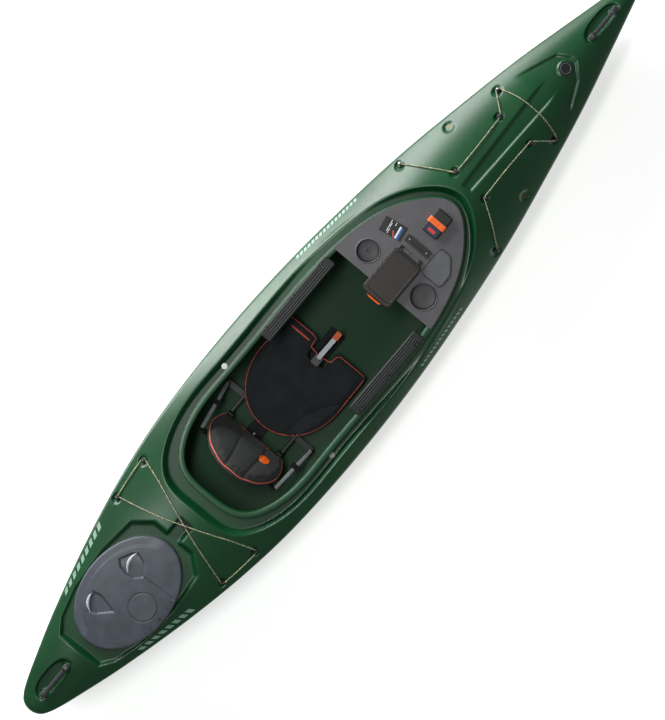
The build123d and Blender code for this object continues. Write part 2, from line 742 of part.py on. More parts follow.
def dry_box():
    """An open box hung by its flange, with a hinged lid, a gasket, a hinge pin and a latch."""
    base = CONSOLE_THICK
    rim_top = base + BOX_FLANGE_THICK
    length = BOX_FRONT - BOX_REAR - 2 * CLEAR
    middle = (BOX_FRONT + BOX_REAR) / 2
    width = BOX_WIDTH - 2 * CLEAR
    pivot_x = BOX_FRONT + LID_MARGIN + HINGE_GAP
    pivot_z = lid_axis_height()

    def block(grow, low, high, corner=BOX_CORNER):
        face = RectangleRounded(length + 2 * grow, width + 2 * grow, corner)
        return on_rim(Pos(middle, 0) * face, low, high)

    box = block(0, base - BOX_DEPTH, rim_top) + block(BOX_FLANGE, base, rim_top, FLANGE_CORNER)
    box = box - block(-BOX_WALL, base - BOX_DEPTH + BOX_WALL, rim_top + WELD, BOX_INNER_CORNER)
    for side in (1, -1):
        ear = box_at(rim_plane(), BOX_FRONT + 2, pivot_x, side * EAR_Y - EAR_THICK / 2,
                     side * EAR_Y + EAR_THICK / 2, base, rim_top)
        post = Pos(pivot_x, side * EAR_Y, pivot_z) * Rot(90, 0, 0) * Cylinder(KNUCKLE_RADIUS, EAR_THICK)
        web = Pos(pivot_x, side * EAR_Y, (base + pivot_z) / 2) * Box(2 * KNUCKLE_RADIUS, EAR_THICK,
                                                                  pivot_z - base)
        box = box + ear + rim_plane() * (post + web)
    pin_hole = Rot(90, 0, 0) * Cylinder(PIN_RADIUS + FIT, 2 * BOX_WIDTH)
    pin_bore = Rot(90, 0, 0) * Cylinder(PIN_RADIUS + RUN, 2 * BOX_WIDTH)
    place = rim_plane() * Pos(pivot_x, 0, pivot_z)
    save("dry_box", box - place * pin_hole)
    pin = Rot(90, 0, 0) * Cylinder(PIN_RADIUS, 2 * EAR_Y + EAR_THICK)
    save("lid_hinge_pin", place * pin)

    low = rim_top + BOX_GASKET
    lid = block(LID_MARGIN, low, low + LID_THICK, LID_CORNER)
    lid = fillet(lid.faces().sort_by(Axis.Z)[-1].edges(), LID_ROUND)
    lid = lid - block(-BOX_WALL, low - WELD, low + LID_THICK - LID_SKIN, BOX_INNER_CORNER)
    for side in (1, -1):
        arm_y = side * (EAR_Y - EAR_THICK / 2 - ARM_GAP - ARM_THICK / 2)
        arm = Pos((BOX_FRONT + pivot_x) / 2, arm_y, pivot_z) * Box(pivot_x - BOX_FRONT, ARM_THICK, 7)
        knuckle = Pos(pivot_x, arm_y, pivot_z) * Rot(90, 0, 0) * Cylinder(KNUCKLE_RADIUS, ARM_THICK)
        lid = lid + rim_plane() * (arm + knuckle)
    lid = lid - place * pin_bore
    latch_x = BOX_REAR - LID_MARGIN - LATCH_OUT
    latch_z = low + LID_THICK - LATCH_DOWN
    latch_place = rim_plane() * Pos(latch_x, 0, latch_z)
    for side in (1, -1):
        y = side * (LATCH_WIDTH / 2 + ARM_GAP + EAR_THICK / 2)
        ear = Pos(0, y, 0) * (Rot(90, 0, 0) * Cylinder(KNUCKLE_RADIUS, EAR_THICK)
                              + Pos(5, 0, 0) * Box(12, EAR_THICK, 2 * KNUCKLE_RADIUS))
        lid = lid + latch_place * ear
    lid = lid - latch_place * (Rot(90, 0, 0) * Cylinder(PIN_RADIUS + FIT, 2 * LATCH_WIDTH))
    save("dry_box_lid", lid)
    hollow = block(-BOX_WALL + GASKET_INSET, rim_top - WELD, low + WELD, BOX_INNER_CORNER)
    save("dry_box_gasket", block(1, rim_top, low - SQUEEZE) - hollow)
    save("latch_pin", latch_place * Rot(90, 0, 0) * Cylinder(PIN_RADIUS, LATCH_WIDTH + 2 * EAR_THICK))
    latch = Rot(90, 0, 0) * Cylinder(LATCH_THICK / 2 + 1.5, LATCH_WIDTH)
    latch = latch + Pos(-1.5, 0, -LATCH_DROP / 2) * Box(LATCH_THICK, LATCH_WIDTH, LATCH_DROP)
    latch = latch - Rot(90, 0, 0) * Cylinder(PIN_RADIUS + RUN, 2 * LATCH_WIDTH)
    save("dry_box_latch", latch_place * latch)


def on_console():
    """The tray lid, the accessory track, the card and the strapped gear block."""
    top = CONSOLE_THICK
    lid = on_rim(tray_corners(), top, top + TRAY_LID_THICK)
    lid = lid + on_rim(tray_corners(-TRAY_STEP - 0.5), top - 5, top + 1)
    save("tray_lid", lid)

    track = on_rim(Pos(TRACK_X, 0) * RectangleRounded(TRACK_WIDTH, TRACK_LENGTH, 5), top, top + TRACK_HEIGHT)
    slot = Rectangle(TRACK_SLOT, TRACK_LENGTH + 2)
    under = Rectangle(2 * TRACK_SLOT, TRACK_LENGTH + 2)
    track = track - on_rim(Pos(TRACK_X, 0) * slot, top + 2, top + TRACK_HEIGHT + 1)
    track = track - on_rim(Pos(TRACK_X, 0) * under, top + 2, top + TRACK_HEIGHT - 2)
    screws = []
    for side in (1, -1):
        place = Pos(TRACK_X, side * TRACK_SCREW_Y)
        track = track - on_rim(place * Circle(SCREW_RADIUS + FIT), 0, top + 3)
        foot = Plane(rim_plane().location * Location((TRACK_X, side * TRACK_SCREW_Y, top + 2)))
        screws.append(screw(foot, 3.5, 2, SCREW_RADIUS, TRACK_SCREW_LENGTH))
    save("accessory_track", track)
    save("track_screws", *screws)

    card = Pos(CARD_X, CARD_Y) * Rot(0, 0, CARD_TURN) * Rectangle(CARD_WIDTH, CARD_LENGTH)
    save("console_card", on_rim(card, top, top + CARD_THICK))

    block = RectangleRounded(BLOCK_LENGTH, BLOCK_WIDTH, BLOCK_CORNER)
    gear = on_rim(Pos(BLOCK_X, 0) * block, top, top + BLOCK_HEIGHT)
    save("gear_block", fillet(gear.faces().sort_by(Axis.Z)[-1].edges(), BLOCK_ROUND))
    gap = CLEAR
    outer = box_at(rim_plane(), BLOCK_X - STRAP_WIDTH / 2, BLOCK_X + STRAP_WIDTH / 2,
                   -BLOCK_WIDTH / 2 - STRAP_THICK - gap, BLOCK_WIDTH / 2 + STRAP_THICK + gap,
                   top, top + BLOCK_HEIGHT + STRAP_THICK + gap)
    inner = box_at(rim_plane(), BLOCK_X - STRAP_WIDTH, BLOCK_X + STRAP_WIDTH,
                   -BLOCK_WIDTH / 2 - gap, BLOCK_WIDTH / 2 + gap, top - 1, top + BLOCK_HEIGHT + gap)
    save("gear_strap", outer - inner)


# ---- seat ----

def rail_bottom():
    return WALL + SKIN_GAP + FLOOR_RISE


def seat_outline(grow=0):
    """The cushion from above: round at the back, straight at the front with a notch for the lever."""
    w = SEAT_WIDTH / 2 + grow
    rear = SEAT_REAR - grow
    front = SEAT_FRONT + grow
    port = smooth([(rear, 0), (rear + 24, 0.46 * w), (rear + 120, 0.88 * w), (rear + 230, w)],
                  (0, 1), (1, 0.05))
    side = Polyline((rear + 230, w), (front, w * 0.98), (front, 0))
    half = make_face([port.edge(), *side.edges(), Line((front, 0), (rear, 0)).edge()])
    whole = half + mirror(half, Plane.XZ)
    notch = Pos(SEAT_FRONT - NOTCH_DEPTH / 2 + 20, 0) * RectangleRounded(
        NOTCH_DEPTH + 40 - 2 * grow, NOTCH_WIDTH - 2 * grow, 20)
    return whole - notch


def seat():
    rail_low = rail_bottom()
    rail_top = rail_low + RAIL_HEIGHT
    rail = Pos((RAIL_REAR + RAIL_FRONT) / 2, 0) * Rectangle(RAIL_FRONT - RAIL_REAR, RAIL_WIDTH)
    rail = prism(rail, rail_low, rail_top)
    slot = Pos((RAIL_REAR + RAIL_FRONT) / 2, 0) * SlotOverall(RAIL_FRONT - RAIL_REAR - 60, RAIL_SLOT)
    rail = rail - prism(slot, rail_low + RAIL_FLOOR, rail_top + WELD)
    screws = []
    for x in (RAIL_REAR + 12, RAIL_FRONT - 12):
        plane = Plane((x, 0, rail_top))
        rail = rail - cylinder_at(plane, SCREW_RADIUS + FIT, -RAIL_HEIGHT - 1, 1)
        screws.append(screw(plane, SCREW_HEAD_RADIUS, SCREW_HEAD, SCREW_RADIUS, RAIL_HEIGHT))
    save("seat_rail", rail)
    save("rail_screws", *screws)

    pan_low = rail_top + SEAT_LIFT
    pan_top = pan_low + SEAT_BASE_THICK
    pan = prism(seat_outline(-6), pan_low, pan_top)
    shoe = Pos(SHOE_X, 0) * Rectangle(SHOE_LENGTH, RAIL_SLOT - 2 * CLEAR)
    pan = pan + prism(shoe, rail_low + RAIL_FLOOR + CLEAR, pan_low + WELD)
    bore = Rot(90, 0, 0) * Cylinder(RECLINE_PIN_RADIUS + FIT, 600)
    for side in (1, -1):
        y = side * LUG_Y
        arm = box_at(Plane.XY, RECLINE_X, LUG_FOOT, y - LUG_THICK / 2, y + LUG_THICK / 2,
                     pan_low, RECLINE_Z)
        eye = Pos(RECLINE_X, y, RECLINE_Z) * Rot(90, 0, 0) * Cylinder(LUG_RADIUS, LUG_THICK)
        pan = pan + arm + eye
    for side in (1, -1):
        ear = box_at(Plane.XY, EAR_X, EAR_X + BELT_WIDTH, side * EAR_SPAN - EAR_WIDE / 2,
                     side * EAR_SPAN + EAR_WIDE / 2, pan_low, pan_low + EAR_TALL)
        bridge = box_at(Plane.XY, EAR_X, EAR_X + BELT_WIDTH, min(side * BRIDGE_IN, side * EAR_SPAN),
                        max(side * BRIDGE_IN, side * EAR_SPAN), pan_low, pan_top)
        pan = pan + ear + bridge
    lever_bore = Pos(LEVER_X, 0, LEVER_Z) * Rot(90, 0, 0) * Cylinder(PIN_RADIUS + FIT, 200)
    for side in (1, -1):
        cheek = box_at(Plane.XY, LEVER_X - 9, LEVER_X + 9, min(side * CHEEK_IN, side * CHEEK_OUT),
                       max(side * CHEEK_IN, side * CHEEK_OUT), pan_low, LEVER_Z + 8)
        pan = pan + cheek
    tongue = box_at(Plane.XY, LEVER_X - 60, LEVER_X + 20, -CHEEK_OUT, CHEEK_OUT, pan_low, pan_top)
    pan = pan + tongue
    save("seat_pan", pan - Pos(RECLINE_X, 0, RECLINE_Z) * bore - lever_bore)

    cushion = prism(seat_outline(), pan_top + CLEAR, pan_top + CUSHION_THICK)
    for side in (1, -1):
        cut = box_at(Plane.XY, SEAT_REAR - 60, SEAT_REAR + 64, min(side * (LUG_Y - 7), side * (LUG_Y + 7)),
                     max(side * (LUG_Y - 7), side * (LUG_Y + 7)), 0, 200)
        cushion = cushion - cut
    save("seat_cushion", cushion)

    block = Pos(LEVER_X - 4, 0) * RectangleRounded(BLOCK_SIZE, 2 * CHEEK_OUT + 4, 8)
    block = prism(block, LEVER_Z + BLOCK_LOW, LEVER_Z + BLOCK_HIGH)
    block = fillet(block.edges().group_by(Axis.Z)[-1], 4)
    slot = box_at(Plane.XY, LEVER_X + WELD, LEVER_X + BLOCK_SIZE, -BLOCK_SLOT / 2, BLOCK_SLOT / 2, 0, 200)
    save("seat_front_block", block - slot)

    lever = Rot(90, 0, 0) * Cylinder(6, LEVER_WIDTH)
    lever = lever + Pos(LEVER_LENGTH / 2, 0, 0) * Box(LEVER_LENGTH, LEVER_WIDTH, LEVER_THICK)
    lever = lever - Rot(90, 0, 0) * Cylinder(PIN_RADIUS + RUN, 60)
    tip = LEVER_LENGTH - GRIP_LENGTH
    lever = lever - Pos(LEVER_LENGTH, 0, 0) * Box(2 * GRIP_LENGTH, LEVER_WIDTH + 1, 50)
    tongue_at = Pos(LEVER_LENGTH - GRIP_LENGTH / 2 - 6, 0, 0)
    lever = lever + tongue_at * Box(GRIP_LENGTH, LEVER_WIDTH / 2, LEVER_THICK / 2)
    grip = Pos(tip + GRIP_LENGTH / 2, 0, 0) * Box(GRIP_LENGTH, LEVER_WIDTH + 4, LEVER_THICK + 4)
    grip = fillet(grip.edges().filter_by(Axis.Z), 5)
    socket = Box(GRIP_LENGTH + 2 * FIT, LEVER_WIDTH / 2 + 2 * FIT, LEVER_THICK / 2 + 2 * FIT)
    grip = grip - tongue_at * socket
    at_pivot = Pos(LEVER_X, 0, LEVER_Z) * Rot(0, -LEVER_TILT, 0)
    save("trim_lever", at_pivot * lever)
    save("trim_lever_grip", at_pivot * grip)
    save("trim_lever_pin", Pos(LEVER_X, 0, LEVER_Z) * Rot(90, 0, 0) * Cylinder(PIN_RADIUS, 2 * CHEEK_OUT))


def back_outline(grow=0):
    """The back pad face on: a straight lower edge and a rounded top."""
    w = BACK_WIDTH / 2 + grow
    h = BACK_HEIGHT + grow
    low = -grow
    side = smooth([(w * 0.86, low), (w, 0.34 * h), (w * 0.8, 0.72 * h), (w * 0.36, 0.955 * h), (0, h)],
                  (0.5, 1), (-1, 0))
    half = make_face([side.edge(), Line((0, h), (0, low)).edge(), Line((0, low), (w * 0.86, low)).edge()])
    return half + mirror(half, Plane.YZ)


def back_plane():
    """The plane of the seat back: x across the seat, y up along the back, z forward."""
    lean = math.radians(BACK_LEAN)
    up = Vector(-math.sin(lean), 0, math.cos(lean))
    return Plane((RECLINE_X, 0, RECLINE_Z), x_dir=(0, 1, 0), z_dir=Vector(0, 1, 0).cross(up))


def seat_back():
    plane = back_plane()
    face = Pos(0, BACK_FOOT) * back_outline(-8)
    frame = plane * extrude(Pos(0, 0, BACK_SET) * face, BACK_FRAME_THICK, dir=(0, 0, 1))
    for side in (1, -1):
        y = side * (LUG_Y - LUG_THICK - CLEAR)
        eye = Pos(RECLINE_X, y, RECLINE_Z) * Rot(90, 0, 0) * Cylinder(LUG_RADIUS, LUG_THICK)
        arm = plane * Pos(y, (BACK_FOOT + 40) / 2, BACK_SET + BACK_FRAME_THICK / 2) * Box(
            LUG_THICK, BACK_FOOT + 40, BACK_FRAME_THICK)
        tab = plane * Pos(side * (STRAP_SPAN - TAB_INSET), BACK_FOOT + STRAP_UP,
                          BACK_SET + BACK_FRAME_THICK / 2)
        frame = frame + eye + arm + tab * Box(TAB_LENGTH, BELT_WIDTH, BACK_FRAME_THICK)
    bore = Pos(RECLINE_X, 0, RECLINE_Z) * Rot(90, 0, 0) * Cylinder(RECLINE_PIN_RADIUS + RUN, 600)
    save("seat_back_frame", frame - bore)
    low = BACK_SET + BACK_FRAME_THICK + CLEAR
    pad = plane * extrude(Pos(0, BACK_FOOT, low) * back_outline(), BACK_PAD_THICK, dir=(0, 0, 1))
    save("seat_back_pad", pad)
    pins = []
    for side in (1, -1):
        reach = LUG_Y + LUG_THICK / 2
        near = LUG_Y - LUG_THICK * 1.5 - CLEAR
        pin = Pos(RECLINE_X, side * (reach + near) / 2, RECLINE_Z) * Rot(90, 0, 0) * Cylinder(
            RECLINE_PIN_RADIUS, reach - near)
        pins.append(pin)
    save("recline_pins", *pins)
    badge = plane * Pos(-BACK_BADGE_X, BACK_FOOT + BACK_BADGE_UP, low + BACK_PAD_THICK) * extrude(
        Ellipse(22, 27), 2)
    save("seat_back_badge", badge)

    buckles = []
    for name, side in (("strap_port", 1), ("strap_starboard", -1)):
        top = plane * Pos(side * STRAP_SPAN, BACK_FOOT + STRAP_UP, BACK_SET + BACK_FRAME_THICK + STRAP_OFF)
        start = Vector(*top.position)
        pan_low = rail_bottom() + RAIL_HEIGHT + SEAT_LIFT
        end = Vector(EAR_X + BELT_WIDTH / 2, side * EAR_SPAN, pan_low + EAR_TALL + STRAP_OVER_EAR)
        along = (end - start).normalized()
        across = Vector(0, side, 0)
        belt = Plane(start, x_dir=along, z_dir=along.cross(across.cross(along)).cross(along))
        length = (end - start).length
        strap = belt * Pos(length / 2, 0, 0) * Box(length, BELT_WIDTH, BELT_THICK)
        save(name, strap)
        ring = Box(BUCKLE_LENGTH, BELT_WIDTH + BUCKLE_MARGIN, BUCKLE_THICK)
        ring = ring - Box(2 * BUCKLE_LENGTH, BELT_WIDTH + WELD, BELT_THICK + 2 * CLEAR)
        buckles.append(belt * Pos(length * BUCKLE_SHARE, 0, 0) * ring)
    save("strap_buckles", *buckles)


# ---- braces, bolts, foot braces, bulkhead, foam ----

def braces():
    bolts = []
    for name, side in (("thigh_brace_port", 1), ("thigh_brace_starboard", -1)):
        outline = flat([(BRACE_REAR, side * BRACE_IN), (BRACE_REAR, side * BRACE_OUT),
                        (BRACE_FRONT, side * BRACE_OUT), (BRACE_FRONT, side * BRACE_IN)], BRACE_CORNER)
        pad = on_rim(outline, 0, BRACE_THICK)
        seat_z = BRACE_THICK - BRACE_SINK
        for x in BRACE_BOLTS:
            place = Pos(x, side * BRACE_BOLT_Y)
            pad = pad - on_rim(place * Circle(SCREW_RADIUS + FIT), -1, BRACE_THICK + 1)
            pad = pad - on_rim(place * Circle(BRACE_SINK_RADIUS), seat_z, BRACE_THICK + WELD)
            top = Plane(rim_plane().location * Location((x, side * BRACE_BOLT_Y, seat_z)))
            bolts.append(screw(top, BOLT_RADIUS, SCREW_HEAD, SCREW_RADIUS, seat_z + RIM_THICK))
        save(name, pad)
    save("thigh_brace_bolts", *bolts)
    heads = []
    for side in (1, -1):
        heads.append(screw(coaming_bolt_plane(side), COAMING_BOLT_RADIUS, COAMING_BOLT_HEAD, SCREW_RADIUS,
                           2 * WALL))
    save("coaming_bolts", *heads)


def foot_braces():
    """Rails on standoffs against the hull's inside, with pedals that slide on them."""
    inside = hull_body(WALL + SKIN_GAP, 2)
    screws = []
    for word, side in (("port", 1), ("starboard", -1)):
        ends = [Vector(x, side * (half_beam(x) - FOOT_STANDOFF), FOOT_Z) for x in (FOOT_REAR, FOOT_FRONT)]
        along = (ends[1] - ends[0]).normalized()
        length = (ends[1] - ends[0]).length
        out = Vector(0, 0, 1).cross(along) * side
        plane = Plane(ends[0], x_dir=along, z_dir=(0, 0, 1))
        rail = plane * Pos(length / 2, 0, 0) * Box(length, FOOT_RAIL_THICK, FOOT_RAIL_HEIGHT)
        for x in (FOOT_POST_INSET, length - FOOT_POST_INSET):
            post = Plane((plane * Pos(x, 0, 0)).position, z_dir=out)
            rail = rail + (cylinder_at(post, FOOT_POST_RADIUS, 0, 90) & inside)
            head = Plane((plane * Pos(x, -side * FOOT_RAIL_THICK / 2, 0)).position, z_dir=out * -1)
            rail = rail - cylinder_at(head, SCREW_RADIUS + FIT, -FOOT_RAIL_THICK - 2, 1)
            screws.append(screw(head, SCREW_HEAD_RADIUS, SCREW_HEAD, SCREW_RADIUS, FOOT_RAIL_THICK))
        save(f"foot_rail_{word}", rail)
        block = Box(PEDAL_GRIP, FOOT_RAIL_THICK + 2 * PEDAL_SHOE, FOOT_RAIL_HEIGHT + 2 * PEDAL_SHOE)
        block = block - Box(PEDAL_GRIP + WELD, FOOT_RAIL_THICK + 2 * CLEAR, FOOT_RAIL_HEIGHT + 2 * CLEAR)
        pad = Pos(0, -side * (PEDAL_WIDTH / 2 + FOOT_RAIL_THICK / 2 + PEDAL_SHOE - 2), 0) * Box(
            PEDAL_THICK, PEDAL_WIDTH, PEDAL_HEIGHT)
        pedal = plane * Pos(length * PEDAL_SHARE, 0, 0) * (block + pad)
        save(f"foot_pedal_{word}", pedal)
    save("foot_rail_screws", *screws)


def fillers():
    inside = hull_body(WALL + SKIN_GAP, 1)
    slab = Pos(BULKHEAD_X, 0, 300) * Box(BULKHEAD_THICK, 900, 900)
    save("stern_bulkhead", inside & slab)
    post = Pos((PILLAR_REAR + PILLAR_FRONT) / 2, 0, 300) * Box(PILLAR_FRONT - PILLAR_REAR, PILLAR_WIDTH, 900)
    roof = above_deck(CHANNEL_DEPTH + WALL + SKIN_GAP)
    save("bow_foam_pillar", (inside & post) - roof)


if __name__ == "__main__":
    os.makedirs("parts", exist_ok=True)
    bow_planes = cord("bow_bungee", route_points(BOW_ROUTE), [p[3] for p in BOW_ROUTE])
    stern_planes = cord("stern_bungee", route_points(STERN_ROUTE), [p[3] for p in STERN_ROUTE])
    save("bow_deck_hooks", *[deck_hook(p) for p in bow_planes])
    save("stern_deck_hooks", *[deck_hook(p) for p in stern_planes])
    save("deck_hook_screws", *[hook_screw(p) for p in bow_planes + stern_planes])
    handles_and_badges()
    hatch()
    console()
    dry_box()
    on_console()
    seat()
    seat_back()
    braces()
    foot_braces()
    fillers()
    save("hull", hull(bow_planes + stern_planes, [deck_plane(*p) for p in INSERTS]))
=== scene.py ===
import math

import bpy
import numpy as np
from mathutils import Matrix, Vector
from mathutils.bvhtree import BVHTree


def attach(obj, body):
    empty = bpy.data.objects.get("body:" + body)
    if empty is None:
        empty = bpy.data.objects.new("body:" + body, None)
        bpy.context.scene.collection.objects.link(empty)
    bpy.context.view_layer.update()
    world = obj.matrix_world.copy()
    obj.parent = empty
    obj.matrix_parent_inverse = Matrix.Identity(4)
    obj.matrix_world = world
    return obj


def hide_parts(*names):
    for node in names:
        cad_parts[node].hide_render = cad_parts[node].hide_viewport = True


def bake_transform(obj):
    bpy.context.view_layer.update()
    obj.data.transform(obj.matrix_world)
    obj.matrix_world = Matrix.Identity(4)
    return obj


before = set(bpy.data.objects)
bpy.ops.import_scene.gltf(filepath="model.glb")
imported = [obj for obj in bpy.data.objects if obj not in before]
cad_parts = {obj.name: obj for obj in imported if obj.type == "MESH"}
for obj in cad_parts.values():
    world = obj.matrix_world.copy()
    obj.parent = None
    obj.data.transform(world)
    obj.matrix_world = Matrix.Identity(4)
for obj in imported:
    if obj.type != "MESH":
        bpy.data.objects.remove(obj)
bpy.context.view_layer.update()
MM = 0.001

# A sit-inside kayak: +X bow, +Y port, +Z up, metres in the scene. The values of its form are in
# millimetres, and the same as the design's.
HALF = 1855
HALF_BEAM = 355
WALL = 4
BILGE_RISE = 0.25
OFFSETS = [
    (-1.00, 0.10, 0.30, 116, 270, 8),
    (-0.97, 0.20, 0.30, 88, 268, 14),
    (-0.90, 0.335, 0.30, 48, 262, 28),
    (-0.80, 0.502, 0.32, 28, 254, 38),
    (-0.65, 0.708, 0.34, 12, 244, 50),
    (-0.50, 0.868, 0.36, 4.4, 236, 58),
    (-0.35, 0.965, 0.38, 1.0, 231, 85),
    (-0.15, 1.00, 0.40, 0, 226, 135),
    (0.05, 0.967, 0.40, 0, 225, 155),
    (0.25, 0.868, 0.38, 0.4, 230, 155),
    (0.40, 0.762, 0.36, 2.3, 237, 118),
    (0.55, 0.615, 0.34, 8, 248, 86),
    (0.70, 0.451, 0.32, 21, 262, 62),
    (0.85, 0.25, 0.30, 48, 279, 38),
    (0.95, 0.11, 0.30, 112, 293, 18),
    (1.00, 0.035, 0.30, 236, 300, 8),
]
RIM_HALF = [(-787, 0), (-760, 152), (-640, 236), (-350, 262), (0, 264), (300, 247), (500, 196),
            (640, 108), (705, 0)]
MOAT_HALF = [(-841, 0), (-822, 165), (-680, 266), (-350, 294), (0, 296), (320, 278), (530, 219),
             (675, 120), (734, 0)]
RIM_SLOPE = 0.0826
RIM_WIDTH = 24
MOAT_DEPTH = 36
HATCH_X = -1259
HATCH_LONG = 246.5
HATCH_WIDE = 177
RECESS = [(-1552, 96), (-1500, 136), (-1380, 172), (-1199, 184), (-1040, 168), (-981, 96)]
RECESS_FLOOR = 258
COLLAR_INSET = 12


# ---- colour and materials ----

def linear(code):
    """An sRGB hex colour as the linear colour that a shader takes."""
    parts = [int(code[i:i + 2], 16) / 255 for i in (1, 3, 5)]
    return [c / 12.92 if c <= 0.04045 else ((c + 0.055) / 1.055) ** 2.4 for c in parts] + [1.0]


def add(tree, kind, inputs=None, **settings):
    """Adds a node with its settings, and the values or links of its inputs."""
    node = tree.nodes.new(kind)
    for key, value in settings.items():
        setattr(node, key, value)
    for socket, value in (inputs or {}).items():
        if isinstance(value, bpy.types.NodeSocket):
            tree.links.new(value, node.inputs[socket])
        else:
            node.inputs[socket].default_value = value
    return node


def start(name):
    """A new material, its empty tree, and the places on the object that wears it."""
    material = bpy.data.materials.new(name)
    material.use_nodes = True
    tree = material.node_tree
    tree.nodes.clear()
    return material, tree, add(tree, "ShaderNodeTexCoord").outputs["Object"]


def surface(tree, **inputs):
    """The shader and the output, its inputs named with _ for a space."""
    named = {key.replace("_", " "): value for key, value in inputs.items()}
    shader = add(tree, "ShaderNodeBsdfPrincipled", named)
    add(tree, "ShaderNodeOutputMaterial", {"Surface": shader.outputs[0]})


def shades(tree, place, size, dark, light, detail=4.0):
    """A colour that wanders between two over patches of a real size in metres."""
    noise = add(tree, "ShaderNodeTexNoise", {"Vector": place, "Scale": 1 / size, "Detail": detail})
    ramp = add(tree, "ShaderNodeValToRGB", {"Fac": noise.outputs[0]})
    ramp.color_ramp.elements[0].position = 0.35
    ramp.color_ramp.elements[1].position = 0.65
    ramp.color_ramp.elements[0].color = linear(dark)
    ramp.color_ramp.elements[1].color = linear(light)
    return ramp.outputs[0], noise.outputs[0]


def spread(tree, value, low, high):
    """A number from 0 to 1 turned to a span, for a roughness that varies."""
    return add(tree, "ShaderNodeMapRange", {"Value": value, "To Min": low, "To Max": high}).outputs[0]


def rotomoulded_polyethylene():
    """Linear polyethylene, rotomoulded: a waxy gloss, a very slight orange peel, faint scuffs."""
    material, tree, place = start("rotomoulded_green_polyethylene")
    colour, _ = shades(tree, place, 0.35, "#0A3A1D", "#0D4323")
    peel = add(tree, "ShaderNodeTexNoise", {"Vector": place, "Scale": 1 / 0.006, "Detail": 1.0})
    drift = add(tree, "ShaderNodeTexNoise", {"Vector": place, "Scale": 1 / 0.09, "Detail": 1.0})
    scuff = add(tree, "ShaderNodeTexNoise", {"Vector": place, "Scale": 1 / 0.02, "Detail": 8.0})
    low = add(tree, "ShaderNodeBump", {"Height": drift.outputs[0], "Strength": 0.1, "Distance": 0.002})
    bump = add(tree, "ShaderNodeBump", {"Height": peel.outputs[0], "Strength": 0.08, "Distance": 0.0003,
                                        "Normal": low.outputs[0]})
    surface(tree, Base_Color=colour, Roughness=spread(tree, scuff.outputs[0], 0.28, 0.38),
            Specular_IOR_Level=0.5, Normal=bump.outputs[0])
    return material


def moulded_inside():
    """The inner face of a rotomoulding, which no mould touches: dull, and slightly lumpy."""
    material, tree, place = start("inner_face_of_polyethylene")
    colour, patches = shades(tree, place, 0.3, "#0A3A1D", "#0C4021")
    lumps = add(tree, "ShaderNodeTexNoise", {"Vector": place, "Scale": 1 / 0.012, "Detail": 3.0})
    bump = add(tree, "ShaderNodeBump", {"Height": lumps.outputs[0], "Strength": 0.25, "Distance": 0.0006})
    surface(tree, Base_Color=colour, Roughness=spread(tree, patches, 0.5, 0.62), Specular_IOR_Level=0.3,
            Normal=bump.outputs[0])
    return material


def injection_moulding(name, dark, light, rough, grain=0.0008, depth=0.0001, edge=0.001):
    """Injection-moulded plastic: a fine spark-eroded grain and softened edges that catch the light."""
    material, tree, place = start(name)
    colour, patches = shades(tree, place, 0.05, dark, light)
    dots = add(tree, "ShaderNodeTexNoise", {"Vector": place, "Scale": 1 / grain, "Detail": 2.0})
    rounded = add(tree, "ShaderNodeBevel", {"Radius": edge}, samples=4)
    bump = add(tree, "ShaderNodeBump", {"Height": dots.outputs[0], "Strength": 0.3, "Distance": depth,
                                        "Normal": rounded.outputs[0]})
    surface(tree, Base_Color=colour, Roughness=spread(tree, patches, rough - 0.06, rough + 0.06),
            Normal=bump.outputs[0])
    return material


def metal(name, colour, rough, lines=0.0):
    """Bare metal, brushed along one way where lines is the spacing of the marks."""
    material, tree, place = start(name)
    rounded = add(tree, "ShaderNodeBevel", {"Radius": 0.0006}, samples=4)
    stretch = add(tree, "ShaderNodeMapping", {"Vector": place, "Scale": (0.05, 1.0, 1.0)})
    marks = add(tree, "ShaderNodeTexNoise",
                {"Vector": stretch.outputs[0], "Scale": 1 / (lines or 0.002), "Detail": 3.0})
    bump = add(tree, "ShaderNodeBump", {"Height": marks.outputs[0], "Strength": 0.15, "Distance": 0.0001,
                                        "Normal": rounded.outputs[0]})
    surface(tree, Base_Color=linear(colour), Metallic=1.0,
            Roughness=spread(tree, marks.outputs[0], rough - 0.08, rough + 0.08), Normal=bump.outputs[0])
    return material


def spacer_mesh(name, dark, light, hole=0.0026):
    """Polyester spacer mesh over foam: rows of small holes and a dry, soft face."""
    material, tree, place = start(name)
    colour, _ = shades(tree, place, 0.08, dark, light)
    holes = add(tree, "ShaderNodeTexVoronoi", {"Vector": place, "Scale": 1 / hole, "Randomness": 0.15})
    fuzz = add(tree, "ShaderNodeTexNoise", {"Vector": place, "Scale": 1 / 0.0007, "Detail": 2.0})
    deep = add(tree, "ShaderNodeBump", {"Height": holes.outputs["Distance"], "Strength": 0.7,
                                        "Distance": 0.0008}, invert=True)
    bump = add(tree, "ShaderNodeBump", {"Height": fuzz.outputs[0], "Strength": 0.4, "Distance": 0.0003,
                                        "Normal": deep.outputs[0]})
    surface(tree, Base_Color=colour, Roughness=0.92, Sheen_Weight=0.25, Sheen_Roughness=0.5,
            Sheen_Tint=linear("#8A8F96"), Normal=bump.outputs[0])
    return material


def webbing(name, dark, light, rib=0.0024):
    """Woven polyester webbing: fine ribs across the belt."""
    material, tree, place = start(name)
    colour, _ = shades(tree, place, 0.012, dark, light)
    ribs = add(tree, "ShaderNodeTexWave", {"Vector": place, "Scale": 1 / rib / 6.283, "Distortion": 0.6})
    bump = add(tree, "ShaderNodeBump", {"Height": ribs.outputs[1], "Strength": 0.5, "Distance": 0.0005})
    surface(tree, Base_Color=colour, Roughness=0.75, Sheen_Weight=0.2, Normal=bump.outputs[0])
    return material


